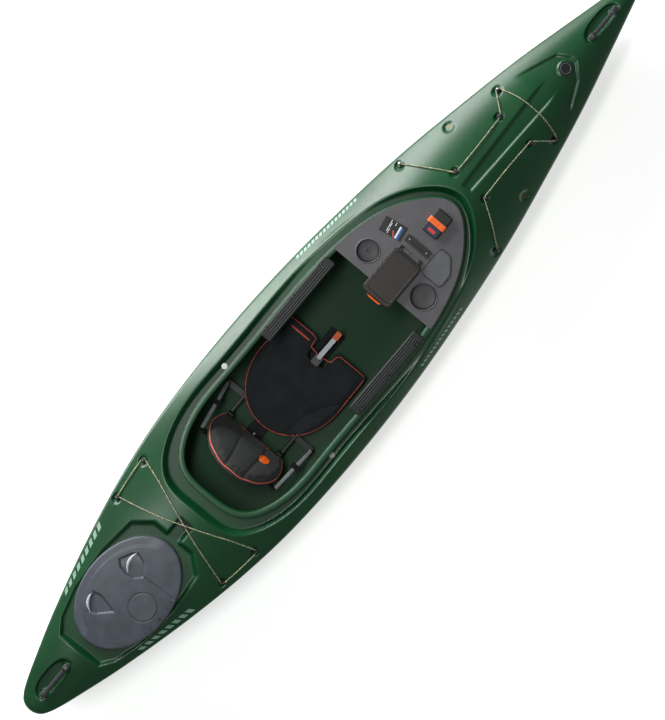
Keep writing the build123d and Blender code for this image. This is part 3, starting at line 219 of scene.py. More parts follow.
def braided_cord():
    """Bungee cord in a braided nylon jacket, green with tan flecks."""
    material, tree, place = start("braided_bungee_cord")
    cells = add(tree, "ShaderNodeTexVoronoi", {"Vector": place, "Scale": 1 / 0.0028, "Randomness": 0.7})
    ramp = add(tree, "ShaderNodeValToRGB", {"Fac": cells.outputs["Color"]})
    ramp.color_ramp.interpolation = "CONSTANT"
    ramp.color_ramp.elements[0].color = linear("#66705A")
    ramp.color_ramp.elements[1].position = 0.62
    ramp.color_ramp.elements[1].color = linear("#B0A882")
    bump = add(tree, "ShaderNodeBump", {"Height": cells.outputs["Distance"], "Strength": 0.8,
                                        "Distance": 0.0006})
    surface(tree, Base_Color=ramp.outputs[0], Roughness=0.7, Normal=bump.outputs[0])
    return material


def cellular(name, dark, light, cell, rough):
    """Closed-cell foam or soft rubber: a matt skin of small cells."""
    material, tree, place = start(name)
    colour, _ = shades(tree, place, 0.03, dark, light)
    cells = add(tree, "ShaderNodeTexVoronoi", {"Vector": place, "Scale": 1 / cell})
    bump = add(tree, "ShaderNodeBump", {"Height": cells.outputs["Distance"], "Strength": 0.4,
                                        "Distance": cell / 4})
    surface(tree, Base_Color=colour, Roughness=rough, Normal=bump.outputs[0])
    return material


def printed_film(name, colour, rough=0.35):
    """A printed or laminated face: flat colour under a thin film with faint ripples."""
    material, tree, place = start(name)
    ripple = add(tree, "ShaderNodeTexNoise", {"Vector": place, "Scale": 1 / 0.01, "Detail": 2.0})
    bump = add(tree, "ShaderNodeBump", {"Height": ripple.outputs[0], "Strength": 0.15, "Distance": 0.0003})
    surface(tree, Base_Color=linear(colour), Roughness=spread(tree, ripple.outputs[0], rough - 0.08,
                                                             rough + 0.08), Normal=bump.outputs[0])
    return material


hull_green = rotomoulded_polyethylene()
inner_green = moulded_inside()
slate = injection_moulding("slate_hatch_plastic", "#3B4149", "#444B54", 0.42)
handle_slate = injection_moulding("handle_plastic", "#24282A", "#2C3032", 0.45)
brace_slate = injection_moulding("thigh_brace_plastic", "#0D1112", "#131718", 0.62)
console_grey = injection_moulding("console_plastic", "#4A494C", "#514F53", 0.5)
cup_grey = injection_moulding("cup_plastic", "#4C4C4F", "#555558", 0.5)
tray_grey = injection_moulding("tray_lid_plastic", "#4A4C50", "#535559", 0.45)
black = injection_moulding("black_glass_filled_nylon", "#0E0F10", "#141517", 0.45)
lid_brown = injection_moulding("dry_box_plastic", "#17120D", "#1C1611", 0.42)
orange = injection_moulding("orange_moulding", "#D85A18", "#E4651F", 0.4)
steel = metal("stainless_steel_screws", "#A6A8A6", 0.3)
aluminium = metal("anodised_aluminium", "#A9ABAD", 0.38, lines=0.0012)
black_aluminium = metal("black_anodised_aluminium", "#1C1D1F", 0.45, lines=0.0012)
brass = metal("brass_inserts", "#6E5A33", 0.5)
seat_mesh = spacer_mesh("seat_spacer_mesh", "#1A1E21", "#24292D")
back_mesh = spacer_mesh("back_spacer_mesh", "#1B1E1C", "#242622")
piping = webbing("coral_piping", "#C24F38", "#D45C42", rib=0.0016)
stitching = webbing("black_seam_tape", "#060708", "#0B0C0D", rib=0.0014)
grey_belt = webbing("grey_webbing", "#6B6F71", "#7E8284")
orange_belt = webbing("orange_webbing", "#DC5A16", "#EE6A22")
bungee = braided_cord()
foam = cellular("closed_cell_foam", "#1A1B1D", "#222326", 0.002, 0.9)
rubber = cellular("gasket_rubber", "#0B0B0B", "#101010", 0.0009, 0.7)
black_film = printed_film("card_black_film", "#0C0C0F")
white_film = printed_film("card_white_band", "#D9DDE2")
blue_film = printed_film("card_blue_band", "#27529C")
red_film = printed_film("card_red_bar", "#C0392F")
navy_film = printed_film("pouch_navy_patch", "#262A45")
stripe_film = printed_film("side_stripe_film", "#7E9F8C", 0.4)
# The grips' light grey is a painted highlight: it stands in for the reflection along rolled bars of slate
# plastic.
painted_highlight_grip = injection_moulding("hatch_grip_painted_highlight", "#A9B0B7", "#B9C0C6", 0.2)


# ---- making meshes ----

def placed(name, data):
    """A new object in the scene."""
    thing = bpy.data.objects.new(name, data)
    bpy.context.scene.collection.objects.link(thing)
    return thing


def design_points(node):
    """The corners of one piece of the design, in millimetres."""
    return np.array([v.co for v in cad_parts[node].data.vertices]) / MM


def shape(name, points, faces, material, body="hull"):
    """A mesh object that rides on a body, from points in millimetres."""
    mesh = bpy.data.meshes.new(name)
    mesh.from_pydata(np.asarray(points, float).reshape(-1, 3) * MM, [], np.asarray(faces).tolist())
    mesh.polygons.foreach_set("use_smooth", [True] * len(mesh.polygons))
    mesh.materials.append(material)
    piece = placed(name, mesh)
    if body:
        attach(piece, body)
    return piece


def quads(rows, columns, round_rows=False, round_columns=False):
    """The faces of a grid of points, closed on itself where asked."""
    index = np.arange(rows * columns).reshape(rows, columns)
    if round_rows:
        index = np.vstack([index, index[:1]])
    if round_columns:
        index = np.hstack([index, index[:, :1]])
    return np.stack([index[:-1, :-1], index[:-1, 1:], index[1:, 1:], index[1:, :-1]], -1).reshape(-1, 4)


def full_turn(count):
    """Even angles once round a circle."""
    return np.linspace(0, 2 * math.pi, count, endpoint=False)


def smooth(points, first, last, steps=24):
    """A curve with even curvature through points, leaving and arriving along set directions."""
    p = np.asarray(points, float)
    h = np.linalg.norm(np.diff(p, axis=0), axis=1)
    n = len(p)
    rows = np.zeros((n, n))
    known = np.zeros_like(p)
    rows[0, 0] = rows[-1, -1] = 1
    known[0] = np.asarray(first) / np.linalg.norm(first)
    known[-1] = np.asarray(last) / np.linalg.norm(last)
    for i in range(1, n - 1):
        rows[i, i - 1] = 1 / h[i - 1]
        rows[i, i] = 2 / h[i - 1] + 2 / h[i]
        rows[i, i + 1] = 1 / h[i]
        known[i] = 3 * (p[i] - p[i - 1]) / h[i - 1] ** 2 + 3 * (p[i + 1] - p[i]) / h[i] ** 2
    slope = np.linalg.solve(rows, known)
    t = np.linspace(0, 1, steps, endpoint=False)[:, None]
    parts = []
    for i in range(n - 1):
        parts.append((2 * t**3 - 3 * t**2 + 1) * p[i] + (t**3 - 2 * t**2 + t) * h[i] * slope[i]
                     + (3 * t**2 - 2 * t**3) * p[i + 1] + (t**3 - t**2) * h[i] * slope[i + 1])
    return np.vstack(parts + [p[-1:]])


def both_sides(half):
    """A closed outline from its port half, which starts and ends on the centreline."""
    return np.vstack([half, half[-2:0:-1] * [1, -1]])


def cockpit_line(half_points, grow=0):
    """A closed outline round the cockpit from its port half, moved outwards by grow."""
    p = np.asarray(half_points, float)
    along = np.vstack([[0, 1], p[2:] - p[:-2], [0, -1]])
    along = along / np.linalg.norm(along, axis=1)[:, None]
    grown = p + np.stack([-along[:, 1], along[:, 0]], -1) * grow
    return both_sides(smooth(grown, (0, 1), (0, -1)))


def inside_by(outline, x, y):
    """How far points lie inside a closed outline; negative outside it."""
    nearest = np.full(x.shape, 1e9)
    within = np.zeros(x.shape, bool)
    a = np.asarray(outline, float)
    for (ax, ay), (bx, by) in zip(a, np.roll(a, -1, axis=0)):
        dx, dy = bx - ax, by - ay
        size = dx * dx + dy * dy
        if size < 1e-9:
            continue
        t = np.clip(((x - ax) * dx + (y - ay) * dy) / size, 0, 1)
        nearest = np.minimum(nearest, (x - ax - t * dx) ** 2 + (y - ay - t * dy) ** 2)
        if dy:
            within ^= ((ay > y) != (by > y)) & (x < ax + (y - ay) * dx / dy)
    return np.where(within, 1, -1) * np.sqrt(nearest)


def ease(value):
    """A step from 0 to 1 with soft ends."""
    value = np.clip(value, 0, 1)
    return value * value * (3 - 2 * value)


def bulge(inward):
    """The height of a rounded edge: 0 at the edge, and 1 where inward reaches 1."""
    return np.sqrt(1 - (1 - inward) ** 2)


# ---- the hull's lines ----

def offsets_at(share):
    """The hull's measures at a share of its half length, on curves through the table."""
    rows = OFFSETS
    i = max(1, next((k for k, row in enumerate(rows) if row[0] >= share), len(rows) - 1))
    a, b = rows[i - 1], rows[i]
    before, after = rows[max(i - 2, 0)], rows[min(i + 1, len(rows) - 1)]
    span = b[0] - a[0]
    t = (share - a[0]) / span
    values = []
    for k in range(1, len(a)):
        leave = (b[k] - before[k]) / (b[0] - before[0]) * span
        reach = (after[k] - a[k]) / (after[0] - a[0]) * span
        values.append((2 * t**3 - 3 * t**2 + 1) * a[k] + (t**3 - 2 * t**2 + t) * leave
                      + (3 * t**2 - 2 * t**3) * b[k] + (t**3 - t**2) * reach)
    return values


STATIONS = np.linspace(-1, 1, 1601)
LINES = np.array([offsets_at(s) for s in STATIONS])


def lines(x):
    """Half beam, flat share, keel, gunwale and deck rise at places along the hull."""
    found = [np.interp(x / HALF, STATIONS, LINES[:, k]) for k in range(5)]
    return [found[0] * HALF_BEAM] + found[1:]


def end_round(x):
    """How far the skin draws in near each end, so that bow and stern are rounded."""
    radius = np.where(x > 0, 11, 26)
    past = np.clip((np.abs(x) - (HALF - radius)) / radius, 0, 1)
    return radius * (1 - np.sqrt(np.clip(1 - past**2, 0, 1))) * 0.9


def deck_height(x, y):
    """The crowned deck before anything is sunk into it."""
    beam, _, _, gunwale, rise = lines(x)
    return gunwale + rise * (1 - (y / beam) ** 2)


RIM_BEND_X = -200
RIM_BEND_HEIGHT = 268
rim_side = smooth([(-900, 284), (-560, 263), (RIM_BEND_X, RIM_BEND_HEIGHT)], (1, -0.12), (1, RIM_SLOPE))


def rim_height(x):
    """The rim's base: a straight slope forward of the bend, a curve up to the stern behind it."""
    straight = RIM_BEND_HEIGHT + RIM_SLOPE * (x - RIM_BEND_X)
    return np.where(x > RIM_BEND_X, straight, np.interp(x, rim_side[:, 0], rim_side[:, 1]))


def rim_point(x, y, z):
    """A place in the sloping plane of the rim, as a place in the scene."""
    angle = math.atan(RIM_SLOPE)
    base = RIM_BEND_HEIGHT - RIM_SLOPE * RIM_BEND_X
    x, y, z = np.broadcast_arrays(np.asarray(x, float), y, z)
    return np.stack([x * math.cos(angle) - z * math.sin(angle), y,
                     base + x * math.sin(angle) + z * math.cos(angle)], -1)


def solids_of(node, apart=24):
    """The middles of the separate solids in one CAD node."""
    places = design_points(node)
    middles = []
    while len(places):
        near = np.linalg.norm(places - places[0], axis=1) < apart
        middles.append((places[near].min(0) + places[near].max(0)) / 2)
        places = places[~near]
    return middles


moat_line = cockpit_line(MOAT_HALF)
opening_line = cockpit_line(RIM_HALF, -RIM_WIDTH)
recess_line = np.array(RECESS + [(x, -y) for x, y in reversed(RECESS)], float)
hooks = solids_of("bow_deck_hooks") + solids_of("stern_deck_hooks")
inserts = solids_of("accessory_inserts")


DRAIN_NOTCH = [(-1010, 31), (-1010, -31), (-907, -31), (-907, 31)]
BOW_CHANNEL = [(767, 25), (767, -25), (1340, -44), (1340, 44)]
BOW_ARROW = [(1225, 128), (1257, 117), (1397, 62), (1424, 14), (1424, -14), (1375, -70), (1260, -128),
             (1225, -134)]
BADGE_X = 1376
CHANNEL_DEPTH = 8.3
BADGE_SEAT_DEPTH = 3.5
HANDLE_POCKETS = ((-1700, 50, 24), (1602, 42, 19))
POCKET_HALF = 92
POCKET_DEPTH = 17
HANDLE_POST = 67.5
SQUARENESS = 2.6


def cockpit_and_hatch(x, y, z):
    """The deck with its moat round the cockpit, and its recess and drain notch at the hatch."""
    moat = ease((inside_by(moat_line, x, y) + 7) / 16)
    z = z + (rim_height(x) - MOAT_DEPTH - z) * moat
    recess = ease((inside_by(recess_line, x, y) + 3) / 14)
    drain = ease((inside_by(DRAIN_NOTCH, x, y) + 2) / 7)
    return z - np.maximum(recess, drain) * np.maximum(z - RECESS_FLOOR, 0)


def bow_channel(x, y):
    """How far the channel and its arrow lie below the bow deck, with the badge's seat left higher."""
    channel = inside_by(BOW_CHANNEL, x, y)
    arrow = inside_by(BOW_ARROW, x, y)
    wings = ease((arrow + 4) / 11) * ease((x - 1215) / 90)
    plinth = ease((34 - np.hypot(x - BADGE_X, y)) / 5)
    return CHANNEL_DEPTH * np.maximum(ease(channel / 14), wings) * (1 - plinth) + BADGE_SEAT_DEPTH * plinth


def handle_pocket(x, y, middle, port, starboard):
    """The hollow under a carrying handle, from 0 to 1, with a pillar left under each of its ends."""
    width = np.where(y > 0, port, starboard)
    oblong = np.abs((x - middle) / POCKET_HALF) ** SQUARENESS + np.abs(y / width) ** SQUARENESS
    pocket = ease(((1 - oblong ** (1 / SQUARENESS)) * width + 2) / 9)
    for side in (-1, 1):
        pillar = ease((17 - np.hypot(x - middle - side * HANDLE_POST, y)) / 6)
        pocket = np.minimum(pocket, 1 - pillar)
    return pocket


def sunk(x, y, z):
    """The deck with everything that is moulded down into it."""
    z = cockpit_and_hatch(x, y, z) - bow_channel(x, y)
    for middle, port, starboard in HANDLE_POCKETS:
        z = z - POCKET_DEPTH * handle_pocket(x, y, middle, port, starboard)
    for hook in hooks:
        z = z - 6.6 * ease((18 - np.hypot(x - hook[0], y - hook[1])) / 6)
    for insert in inserts:
        z = z - 7.5 * ease((22 - np.hypot((x - insert[0]) * 0.8, y - insert[1])) / 9)
    return z


# ---- the hull: deck, bottom, lining, coaming ----

def softened(heights, times):
    """Heights with their steps eased, as thick plastic drapes over a mould's edges."""
    for _ in range(times):
        for axis in (0, 1):
            before, after = np.roll(heights, 1, axis), np.roll(heights, -1, axis)
            heights = heights / 2 + before / 4 + after / 4
    return heights


def even_places(low, high, step, tight, reach):
    """Places along a span, closer together near both ends."""
    middle = np.linspace(low + reach, high - reach, int((high - low - 2 * reach) / step))
    edge = reach * (1 - np.cos(np.linspace(0, math.pi / 2, tight, endpoint=False)))
    return np.concatenate([low + edge, middle, (high - edge)[::-1]])


along = even_places(-HALF, HALF, 3.0, 14, 30)
across = even_places(-1, 1, 2 / 260, 12, 0.03)
X, V = np.meshgrid(along, across, indexing="ij")
drawn_in = end_round(X)
beam = lines(X)[0]
Y = V * (beam - np.minimum(drawn_in, beam * 0.98))
Z = deck_height(X, V * beam)
edge_left = np.clip((1 - np.abs(V)) * beam / 9, 0, 1)
EDGE_DROP = 4.5
Z = Z + softened(sunk(X, Y, Z) - Z, 3) - EDGE_DROP * (1 - bulge(edge_left)) - drawn_in * 0.6
open_cockpit = inside_by(opening_line, X, Y)
in_collar = 1 - np.hypot((X - HATCH_X) / (HATCH_LONG - COLLAR_INSET), Y / (HATCH_WIDE - COLLAR_INSET))
rows, columns = X.shape


def kept(*masks):
    """The faces of the deck grid that aren't in an opening."""
    cut = np.zeros((rows, columns), bool)
    for mask in masks:
        cut |= mask
    corner = cut[:-1, :-1] & cut[:-1, 1:] & cut[1:, 1:] & cut[1:, :-1]
    return ~corner.reshape(-1)


keep = kept(open_cockpit > -2.5, in_collar > -0.008)
deck = shape("moulded_deck", np.stack([X, Y, Z], -1), quads(rows, columns)[keep], hull_green)
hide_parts("hull")

thin = slice(None, None, 3)
lining_faces = quads(*X[thin, thin].shape)
centre_x = X[thin, thin].reshape(-1)[lining_faces].mean(1)
centre_y = Y[thin, thin].reshape(-1)[lining_faces].mean(1)
clear = inside_by(opening_line, centre_x, centre_y) < -10
clear &= np.hypot((centre_x - HATCH_X) / (HATCH_LONG - COLLAR_INSET),
                  centre_y / (HATCH_WIDE - COLLAR_INSET)) > 1.03
clear &= np.abs(centre_x) < HALF - 40
under = np.stack([X, Y * 0.985, Z - WALL], -1)[thin, thin]
ceiling = shape("deck_underside", under, lining_faces[clear], inner_green)


def side_curve(beam, flat, keel, gunwale, count=40):
    """From the port gunwale round the bottom to the starboard one, at each place along."""
    t = np.linspace(0, 1, count)
    turn = keel + BILGE_RISE * (gunwale - keel)
    a, b, c, d = (1 - t) ** 3, 3 * t * (1 - t) ** 2, 3 * t**2 * (1 - t), t**3
    y = np.outer(beam, a + b) + np.outer(0.95 * beam, c) + np.outer(flat * beam, d)
    z = np.outer(gunwale, a) + np.outer(turn, b) + np.outer(keel, c + d)
    bottom = np.linspace(1, -1, 9)[1:-1]
    flat_y = np.outer(flat * beam, bottom)
    flat_z = np.outer(keel, np.ones(len(bottom)))
    return (np.hstack([y, flat_y, -y[:, ::-1]]), np.hstack([z, flat_z, z[:, ::-1]]))


def bottom_of(name, places, inset, top_drop, material):
    """The sides and the bottom from gunwale to gunwale, drawn in by inset for an inner face."""
    beam, flat, keel, gunwale, _ = lines(places)
    pull = end_round(places)
    if inset:
        pull = pull * 0
    wide = beam - inset - np.minimum(pull, beam * 0.98)
    low = keel + inset + pull * 1.6
    y, z = side_curve(wide, flat, low, gunwale - 0.6 * inset - top_drop - pull * 0.6)
    x = np.repeat(places[:, None], y.shape[1], axis=1)
    piece = shape(name, np.stack([x, y, z], -1), quads(*y.shape), material)
    return piece


bottom_of("moulded_bottom", along, 0, EDGE_DROP, hull_green)
bottom_of("hull_lining", np.linspace(-HALF * 0.97, HALF * 0.95, 260), WALL, 0, inner_green)

for end, name in ((0, "stern_cap"), (-1, "bow_cap")):
    place = np.array([along[end]])
    beam_end, flat_end, keel_end, gunwale_end, _ = lines(place)
    pull = end_round(place)
    y, z = side_curve(beam_end - np.minimum(pull, beam_end * 0.98), flat_end, keel_end + pull * 1.6,
                      gunwale_end - EDGE_DROP - pull * 0.6)
    ring = np.stack([np.full(y.shape[1], place[0]), y[0], z[0]], -1)
    top = np.stack([X[end], Y[end], Z[end]], -1)
    ring = np.vstack([ring, top[1:-1]])
    middle = ring.mean(0)
    count = len(ring)
    fan = [(i, (i + 1) % count, count) for i in range(count)]
    cap = shape(name, np.vstack([ring, middle]), fan, hull_green)


def swept(name, outline, profile, height, material):
    """A profile of (outward, up) carried round a closed outline; height gives the base at x."""
    outline = np.asarray(outline, float)
    gap = np.linalg.norm(outline - np.roll(outline, -1, axis=0), axis=1)
    outline = outline[gap > 0.5]
    tangent = np.roll(outline, -1, axis=0) - np.roll(outline, 1, axis=0)
    tangent = tangent / np.linalg.norm(tangent, axis=1)[:, None]
    area = np.sum(outline[:, 0] * np.roll(outline[:, 1], -1) - np.roll(outline[:, 0], -1) * outline[:, 1])
    outward = np.stack([tangent[:, 1], -tangent[:, 0]], -1) * (1 if area > 0 else -1)
    rings = []
    for out, up in profile:
        p = outline + outward * out
        rings.append(np.column_stack([p, height(p[:, 0]) + up]))
    return shape(name, np.array(rings), quads(len(rings), len(outline), False, True), material)


def arc(cx, cz, radius, start_angle, end_angle, count=6):
    """Points along part of a circle in a profile, between two angles in degrees."""
    turn = np.radians(np.linspace(start_angle, end_angle, count))
    return [(cx + radius * math.cos(a), cz + radius * math.sin(a)) for a in turn]


rim_profile = ([(0, -MOAT_DEPTH - 5), (0, -4)] + arc(4, -4, 4, 180, 90) + [(12, 0.6)]
               + arc(RIM_WIDTH - 3.5, -3.5, 3.5, 90, -60) + [(12, -7), (8.5, -8)] + arc(9, -12, 3.5, 110, 180)
               + [(5.5, -MOAT_DEPTH + 9)] + arc(13.5, -MOAT_DEPTH + 8.5, 8, 180, 262)
               + [(15, -MOAT_DEPTH - 1)])
coaming = swept("coaming_rim", opening_line, rim_profile, rim_height, hull_green)


def oval(grow):
    """The hatch cover's outline in plan, moved outwards by grow."""
    turn = full_turn(160)
    return np.column_stack([HATCH_X + (HATCH_LONG + grow) * np.cos(turn), (HATCH_WIDE + grow) * np.sin(turn)])


def collar_base(x):
    """The level floor of the recess that the collar stands on."""
    return np.full(x.shape, RECESS_FLOOR)


collar_profile = [(0, -8), (0, 18), (1, 20), (5, 20), (6, 18), (6, 3), (9, -1)]
collar = swept("hatch_collar", oval(-COLLAR_INSET), collar_profile, collar_base, hull_green)


# ---- side stripes, in place of the lettering ----

def patch(name, corners, lift, material, height, body="hull", cells=(14, 6)):
    """A thin film on a curved face, between four corners in plan."""
    a, b, c, d = (np.asarray(p, float) for p in corners)
    u, v = np.meshgrid(np.linspace(0, 1, cells[0]), np.linspace(0, 1, cells[1]), indexing="ij")
    u, v = u[..., None], v[..., None]
    plan = a * (1 - u) * (1 - v) + b * u * (1 - v) + c * u * v + d * (1 - u) * v
    z = height(plan[..., 0], plan[..., 1]) + lift
    return shape(name, np.dstack([plan, z]), quads(*cells), material, body)


def shell_height(x, y):
    """The moulded deck's face, with its rounded edge."""
    near = np.clip((lines(x)[0] - np.abs(y)) / 9, 0, 1)
    return sunk(x, y, deck_height(x, y)) - EDGE_DROP * (1 - bulge(near))


def stripes(name, rear, front, inner, outer, count):
    """A row of slanted bars along the edge of the deck."""
    step = (front[0] - rear[0]) / count
    slant = step * 0.4

    def edge(x):
        share = (x - rear[0]) / (front[0] - rear[0])
        return rear[1] + (front[1] - rear[1]) * share

    for i in range(count):
        x0 = rear[0] + i * step
        x1 = x0 + step * 0.62
        corners = [(x0, edge(x0) * inner), (x1, edge(x1) * inner), (x1 + slant, edge(x1) * outer),
                   (x0 + slant, edge(x0) * outer)]
        patch(f"{name}_{i}", corners, 0.35, stripe_film, shell_height)


stripes("stern_stripe_port", (-1425, 196), (-1120, 270), 0.90, 0.98, 9)
stripes("stern_stripe_starboard", (-1410, -200), (-1150, -264), 0.86, 0.945, 8)
stripes("bow_stripe_port", (150, 338), (480, 304), 0.955, 0.982, 16)
stripes("bow_stripe_starboard", (140, -340), (420, -312), 0.92, 0.945, 14)


# ---- the hatch cover ----

FORWARD_GRIP = [(-1179, 114), (-1128, 88), (-1112, 66), (-1128, 22), (-1176, -10), (-1203, 20), (-1210, 50),
                (-1202, 88)]
REAR_GRIP = [(-1336, 111), (-1385, 100), (-1412, 72), (-1398, 40), (-1348, -10), (-1336, 30), (-1328, 75)]
WELL_DEPTH = 11
GRIP_BEND = 0.18


def cover_height(x, y):
    """The cover's top: a shallow crown, a flat on its port side, two finger wells, a badge seat."""
    away = np.hypot((x - HATCH_X) / HATCH_LONG, y / HATCH_WIDE)
    z = 293.6 - 5.5 * away**2
    z = z - 3.2 * ease((away - 0.80) * 18) * ease((y - 10) / 60)
    for well in (FORWARD_GRIP, REAR_GRIP):
        z = z - WELL_DEPTH * ease((inside_by(well, x, y) + 1) / 12)
    ring = np.hypot(x + 1265, y + 80)
    z = z - 1.6 * np.exp(-((ring - 56) / 2.2) ** 2)
    crease = np.abs(x + 1172 + (y + 10) * 0.02)
    z = z - 1.8 * np.exp(-(crease / 2.5) ** 2) * ease((-y - 8) / 8) * ease((y + 158) / 10)
    return z


def hatch_cover():
    """The cover: its crowned top, its rolled edge, and the underside that grips the collar."""
    radial = np.concatenate([np.linspace(0.002, 0.965, 90), 1 - 0.035 * (1 - np.sin(
        np.linspace(0.1, math.pi / 2, 9)))])
    turn = full_turn(300)
    R, T = np.meshgrid(radial, turn, indexing="ij")
    x = HATCH_X + HATCH_LONG * R * np.cos(T)
    y = HATCH_WIDE * R * np.sin(T)
    z = cover_height(x, y)
    edge = np.clip((R - 0.965) / 0.035, 0, 1)
    z = z - 8 * (1 - np.sqrt(1 - edge**2))
    rings = [np.stack([x, y, z], -1)]
    for share, level in ((1.0, 262), (0.995, 259.3), (0.984, 259.3), (0.982, 276), (0.97, 283), (0.5, 285),
                         (0.02, 286)):
        ring = np.stack([HATCH_X + HATCH_LONG * share * np.cos(turn), HATCH_WIDE * share * np.sin(turn),
                         np.full(turn.shape, float(level))], -1)
        rings.append(ring[None])
    points = np.vstack(rings)
    cover = shape("hatch_cover_shell", points, quads(*points.shape[:2], False, True), slate, "hatch_cover")
    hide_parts("hatch_cover")


def tube(name, path, radius, material, body, closed=False, sides=10, flat=1.0):
    """A round cord or bar along points in millimetres; flat squeezes it upwards."""
    path = np.asarray(path, float)
    count = len(path)
    radius = np.broadcast_to(radius, (count,))
    if closed:
        tangent = np.roll(path, -1, axis=0) - np.roll(path, 1, axis=0)
    else:
        tangent = np.gradient(path, axis=0)
    tangent = tangent / np.maximum(np.linalg.norm(tangent, axis=1), 1e-9)[:, None]
    up = np.array([0, 0, 1.0])
    side = np.cross(tangent, up)
    side = side / np.maximum(np.linalg.norm(side, axis=1), 1e-9)[:, None]
    over = np.cross(side, tangent)
    turn = full_turn(sides)
    rings = (path[:, None] + side[:, None] * (np.cos(turn)[None, :, None] * radius[:, None, None])
             + over[:, None] * (np.sin(turn)[None, :, None] * radius[:, None, None] * flat))
    return shape(name, rings, quads(count, sides, closed, True), material, body)


hatch_cover()
# Two rolled grip bars over the finger wells, coloured light grey as a painted highlight.
for name, ends in (("hatch_grip_forward", [(-1198, 50), (-1118, 72)]),
                   ("hatch_grip_rear", [(-1407, 66), (-1340, 108)])):
    a, b = np.array(ends, float)
    t = np.linspace(0, 1, 25)[:, None]
    side = np.array([-(b - a)[1], (b - a)[0]])
    plan = a + (b - a) * t + side * GRIP_BEND * 4 * t * (1 - t)
    z = np.full(len(plan), 289.0)
    swell = 1.2 + 5.2 * np.sin(np.pi * t[:, 0])
    grip = tube(name, np.column_stack([plan, z]), swell, painted_highlight_grip, "hatch_cover", flat=0.6)
for i, x in enumerate((-1338, -1311, -1261, -1210, -1179)):
    y = -HATCH_WIDE * math.sqrt(1 - ((x - HATCH_X) / HATCH_LONG) ** 2)
    wide = 7 if i == 2 else 3
    mark = patch(f"hatch_mark_{i}", [(x - wide / 2, y + 20), (x + wide / 2, y + 20), (x + wide / 2, y + 10),
                                     (x - wide / 2, y + 10)], 0.3, black, cover_height, "hatch_cover", (4, 5))


# ---- thigh braces, ribbed along their length ----

BRACE_REAR = -164
BRACE_FRONT = 232
BRACE_MIDDLE = 224
BRACE_HALF = 26
RIB_SPACING = 9.5


def thigh_brace(name, side):
    """A ribbed pad on the rim, narrower at its ends, with a dimple at each bolt."""
    u = even_places(BRACE_REAR, BRACE_FRONT, 4, 8, 14)
    v = even_places(BRACE_MIDDLE - BRACE_HALF, BRACE_MIDDLE + BRACE_HALF, 1.0, 6, 5)
    U, W = np.meshgrid(u, v, indexing="ij")
    from_end = np.minimum(U - BRACE_REAR, BRACE_FRONT - U)
    end = np.clip(from_end / 16, 0, 1)
    W = BRACE_MIDDLE + (W - BRACE_MIDDLE) * (0.55 + 0.45 * bulge(end))
    from_side = BRACE_HALF * (1 - np.abs(W - BRACE_MIDDLE) / BRACE_HALF)
    edge = np.clip(np.minimum(from_end, from_side) / 5, 0, 1)
    top = 12 - 5 * (1 - bulge(edge))
    ribs = 0.8 * np.cos((W - BRACE_MIDDLE) * 2 * math.pi / RIB_SPACING) * ease((from_end - 20) / 12)
    ribs = ribs * ease((20 - np.abs(W - 216)) / 5)
    top = top + ribs - 1.3
    for bolt in (-134, 29, 196):
        top = top - 3.2 * ease((9.5 - np.hypot(U - bolt, W - 242)) / 2)
    up = rim_point(U, side * W, top)
    skirt = [up, rim_point(U, side * W, 0.3)]
    faces = quads(*U.shape)
    brace = shape(name + "_pad", up, faces, brace_slate)
    border = np.concatenate([np.arange(U.shape[1]), np.arange(1, U.shape[0]) * U.shape[1] + U.shape[1] - 1,
                             np.arange(U.size - 2, U.size - U.shape[1] - 1, -1),
                             np.arange(U.shape[0] - 2, 0, -1) * U.shape[1]])
    loop = np.stack([s.reshape(-1, 3)[border] for s in skirt])
    wall = shape(name + "_edge", loop, quads(2, len(border), False, True), brace_slate)
    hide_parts(name)


thigh_brace("thigh_brace_port", 1)
thigh_brace("thigh_brace_starboard", -1)


# ---- the seat: stuffed pads with seams and piping ----

def baked(piece):
    """The piece's mesh with its modifiers worked into it."""
    graph = bpy.context.evaluated_depsgraph_get()
    mesh = bpy.data.meshes.new_from_object(piece.evaluated_get(graph))
    piece.modifiers.clear()
    piece.data = mesh
    return mesh


LAST_MOMENT = 20


def stuffed(node, name, material, cap, pinned):
    """A pad blown up by cloth pressure from its own solid; pinned says which points are held."""
    piece = placed(name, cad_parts[node].data.copy())
    remesh = piece.modifiers.new("even_cells", "REMESH")
    remesh.mode = "VOXEL"
    remesh.voxel_size = 0.0055
    even = baked(piece)
    rest = np.array([v.co for v in even.vertices])
    middle = (rest.min(0) + rest.max(0)) / 2
    held = pinned(rest / MM)
    rest = rest + (middle - rest) * [0.014, 0.014, 0.0]
    even.vertices.foreach_set("co", rest.reshape(-1))
    group = piece.vertex_groups.new(name="held")
    group.add([int(i) for i in np.nonzero(held)[0]], 1.0, "REPLACE")
    cloth = piece.modifiers.new("stuffing", "CLOTH")
    cloth.settings.use_pressure = True
    cloth.settings.uniform_pressure_force = 4.0
    cloth.settings.effector_weights.gravity = 0.0
    cloth.settings.vertex_group_mass = "held"
    cloth.point_cache.frame_start = 1
    cloth.point_cache.frame_end = LAST_MOMENT
    for moment in range(1, LAST_MOMENT + 1):
        bpy.context.scene.frame_set(moment)
    blown = baked(piece)
    moved = np.array([v.co for v in blown.vertices]) - rest
    far = np.linalg.norm(moved, axis=1)
    moved = moved * np.minimum(1, cap * MM / np.maximum(far, 1e-9))[:, None]
    blown.vertices.foreach_set("co", (rest + moved).reshape(-1))
    bpy.context.scene.frame_set(1)
    finer = piece.modifiers.new("finer", "SUBSURF")
    finer.levels = 1
    finer.render_levels = 1
    fine = baked(piece)
    fine.materials.clear()
    fine.materials.append(material)
    fine.polygons.foreach_set("use_smooth", [True] * len(fine.polygons))
    return piece


